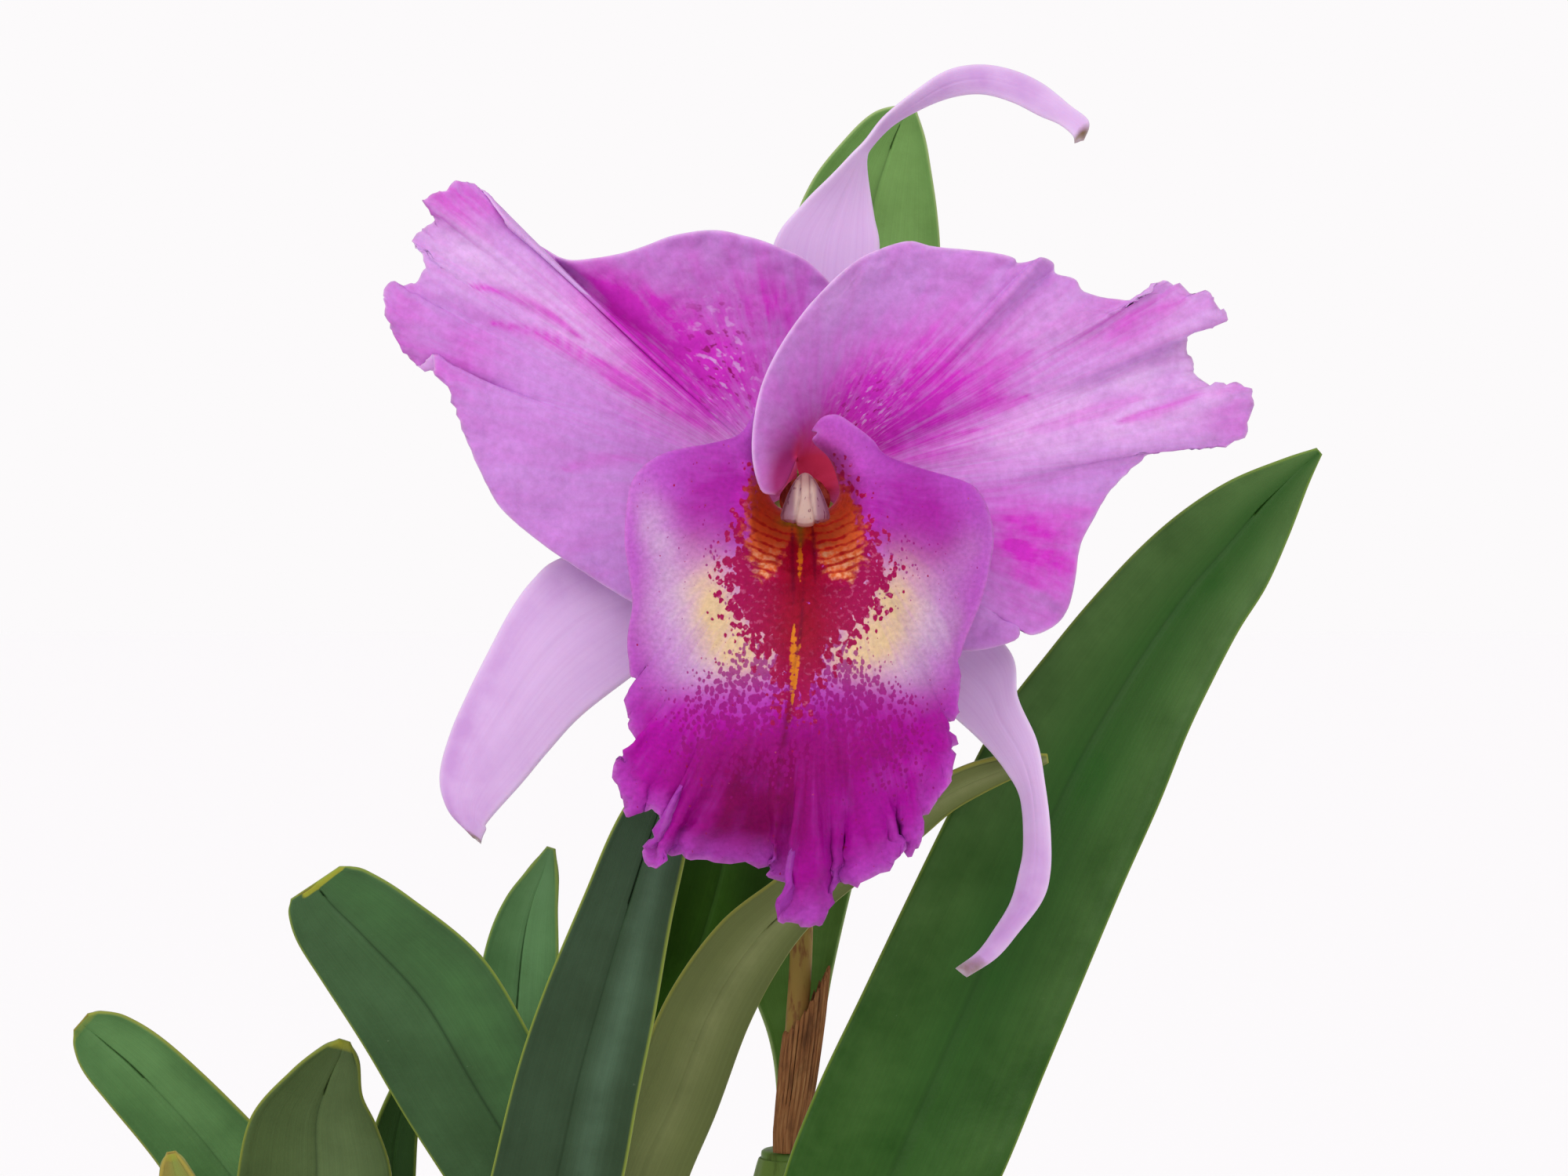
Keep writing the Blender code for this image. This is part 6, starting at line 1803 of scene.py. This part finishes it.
bpy.context.view_layer.update()
pot_mesh = bpy.data.meshes.new_from_object(whole.evaluated_get(bpy.context.evaluated_depsgraph_get()))
for helper in [whole, *cutters]:
    bpy.data.objects.remove(helper)
pot_mesh.materials.clear()
pot = link("clay_pot", pot_mesh, clay)
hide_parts("pot")
print(pot.name, len(pot.data.polygons), "faces")

# %% [markdown]
# ## The bark
#
# Orchids grow in coarse chips of fir bark. The bed under them is one lumpy body that fills the pot. A
# Geometry Nodes tree strews the chips: it scatters points over the free ground, puts a block with a
# random size and turn on each, makes them real, and breaks their edges up with a noise of position.

# %% Free ground for the chips
BED_TOP = 105.5
GROUND_REACH = pot_inner(BARK_TOP) - 4
RHIZOME_ROOM = 8.5

keep_clear = np.vstack([
    spline(shoot_line(shoot)[:, :2], np.linspace(0, 1, 90)) for shoot in (FRONT_SHOOT, BACK_SHOOT)
])


def disc(reach, cell, clear, height):
    """A level disc of small squares, without those that lie nearer than CLEAR to the rhizome."""
    count = int(2 * reach / cell)
    shape = bmesh.new()
    bmesh.ops.create_grid(shape, x_segments=count, y_segments=count, size=reach * MM)
    gone = []
    for face in shape.faces:
        middle = np.array(face.calc_center_median()[:2]) / MM
        near = np.hypot(*(keep_clear - middle).T).min()
        if np.hypot(*middle) > reach or near < clear:
            gone.append(face)
    bmesh.ops.delete(shape, geom=gone, context="FACES")
    bmesh.ops.translate(shape, vec=(0, 0, height * MM), verts=shape.verts)
    mesh = bpy.data.meshes.new("ground")
    shape.to_mesh(mesh)
    shape.free()
    made = bpy.data.objects.new("ground", mesh)
    scene.collection.objects.link(made)
    return made


# %% The bark's material
bark, put, shader = skin("fir bark", 0.88)
place = put("place")
tone = put("layer", attribute_name="tone")
layered = put("stretch", place, (1, 1, 3.2))
plate = put("noise", layered, Scale=260, Detail=6, Roughness=0.7)
patchy = put("noise", place, Scale=75, Detail=5)
mixed = put("ADD", plate, tone)
mixed = put("range", mixed, 0.35, 1.5)
colour = put("ramp", mixed, stops=[(0, "2E1E16"), (0.35, "573626"), (0.62, "7E5336"), (1, "A9825E")])
grey = put("range", patchy, 0.55, 0.75, 0, 0.55)
colour = put("mix", grey, colour, "8F8172")
paint(shader, colour, put("bump", plate, 0.9, 0.0008))

# %% [markdown]
# The tree's inputs are named, so that one tree makes the coarse chips and the fine crumbs between them.

# %% The tree that strews chips
strew = bpy.data.node_groups.new("strew chips", "GeometryNodeTree")
strew.interface.new_socket("Geometry", in_out="INPUT", socket_type="NodeSocketGeometry")
for socket, kind in (
    ("Spacing", "NodeSocketFloat"), ("Seed", "NodeSocketInt"), ("Smallest", "NodeSocketVector"),
    ("Largest", "NodeSocketVector"), ("Tilt", "NodeSocketFloat"), ("Roughening", "NodeSocketFloat"),
    ("Material", "NodeSocketMaterial"),
):
    strew.interface.new_socket(socket, in_out="INPUT", socket_type=kind)
strew.interface.new_socket("Geometry", in_out="OUTPUT", socket_type="NodeSocketGeometry")
given = strew.nodes.new("NodeGroupInput").outputs
most = add(strew, "DIVIDE", 1, given["Spacing"])
most = add(strew, "POWER", most, 2)
points = add(
    strew, "GeometryNodeDistributePointsOnFaces", Mesh=given["Geometry"], Distance_Min=given["Spacing"],
    Density_Max=most, Seed=given["Seed"], distribute_method="POISSON",
)
block = add(strew, "GeometryNodeMeshCube", Size=(1, 1, 1), Vertices_X=4, Vertices_Y=3, Vertices_Z=2)
size = add(strew, "random vector", given["Smallest"], given["Largest"], Seed=given["Seed"])
down = add(strew, "MULTIPLY", given["Tilt"], -1)
least_turn = add(strew, "ShaderNodeCombineXYZ", down, down, 0)
most_turn = add(strew, "ShaderNodeCombineXYZ", given["Tilt"], given["Tilt"], math.tau)
turn = add(strew, "random vector", least_turn, most_turn, Seed=given["Seed"])
chips = add(strew, "GeometryNodeInstanceOnPoints", Points=points, Instance=block, Rotation=turn, Scale=size)
tone = add(strew, "random number", -0.1, 1, Seed=given["Seed"])
chips = add(
    strew, "GeometryNodeStoreNamedAttribute", Geometry=chips, Name="tone", Value=tone,
    data_type="FLOAT", domain="INSTANCE",
)
chips = add(strew, "GeometryNodeRealizeInstances", Geometry=chips)
lump = add(strew, "noise", Scale=170, Detail=2, out=1)
lump = add(strew, "ShaderNodeVectorMath", lump, (0.5, 0.5, 0.5), operation="SUBTRACT")
lump = add(strew, "ShaderNodeVectorMath", lump, Scale=given["Roughening"], operation="SCALE")
chips = add(strew, "GeometryNodeSetPosition", Geometry=chips, Offset=lump)
chips = add(strew, "GeometryNodeSetMaterial", Geometry=chips, Material=given["Material"])
strew.links.new(chips, strew.nodes.new("NodeGroupOutput").inputs[0])


def strewn(name, base, **inputs):
    """The mesh that the tree makes on BASE, which is then removed."""
    step = base.modifiers.new("strew", "NODES")
    step.node_group = strew
    sockets = {item.name: item.identifier for item in strew.interface.items_tree if item.in_out == "INPUT"}
    for socket, value in inputs.items():
        step[sockets[socket.replace("_", " ")]] = value
    bpy.context.view_layer.update()
    made = bpy.data.meshes.new_from_object(base.evaluated_get(bpy.context.evaluated_depsgraph_get()))
    made.name = name
    bpy.data.objects.remove(base)
    return made


# %% Strew the chips
CELL, CHIP_LEVEL, CRUMB_LEVEL = 2, 107.2, 105.4

coarse = strewn(
    "bark_chips", disc(GROUND_REACH, CELL, RHIZOME_ROOM, CHIP_LEVEL),
    Spacing=4.4 * MM, Seed=4, Smallest=(0.009, 0.006, 0.0025), Largest=(0.017, 0.011, 0.005),
    Tilt=0.34, Roughening=0.0032, Material=bark,
)
fine = strewn(
    "bark_crumbs", disc(GROUND_REACH + 1, CELL, 0, CRUMB_LEVEL),
    Spacing=3.6 * MM, Seed=11, Smallest=(0.004, 0.003, 0.0015), Largest=(0.008, 0.006, 0.003),
    Tilt=0.6, Roughening=0.002, Material=bark,
)
for mesh in (coarse, fine):
    mesh.materials.clear()
chips = link("bark_chips", coarse, bark)
crumbs = link("bark_crumbs", fine, bark)
print("chips", len(chips.data.polygons), "faces, crumbs", len(crumbs.data.polygons), "faces")

# %% [markdown]
# The bed fills the pot below the chips, with room for the wall, and its top rolls gently.

# %% The bed
BED_SHOULDER, BED_ROLL, BED_TONE = 1.5, 0.9, 0.05

bed_profile = finer(rounded([
    (0, BED_TOP, 0),
    (pot_inner(BARK_TOP) - 1.2, BED_TOP, 2),
    (pot_inner(NECK) - 0.4, NECK, 1),
    (pot_inner(POT_FLOOR) - 0.4, POT_FLOOR + 0.3, 2),
    (0, POT_FLOOR + 0.3, 0),
]), 2.6)
bed_mesh = turned("bark_bed", bed_profile, 90)
for vert in bed_mesh.vertices:
    if vert.co.z > (BED_TOP - BED_SHOULDER) * MM:
        vert.co.z += BED_ROLL * MM * noise.fractal(vert.co * 110, 1.0, 2.0, 3)
bed = link("bark_bed", bed_mesh, bark)
tone = bed_mesh.attributes.new("tone", "FLOAT", "POINT")
tone.data.foreach_set("value", np.full(len(bed_mesh.vertices), BED_TONE, np.float32))
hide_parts("bark")
print("bed", len(bed.data.polygons), "faces")
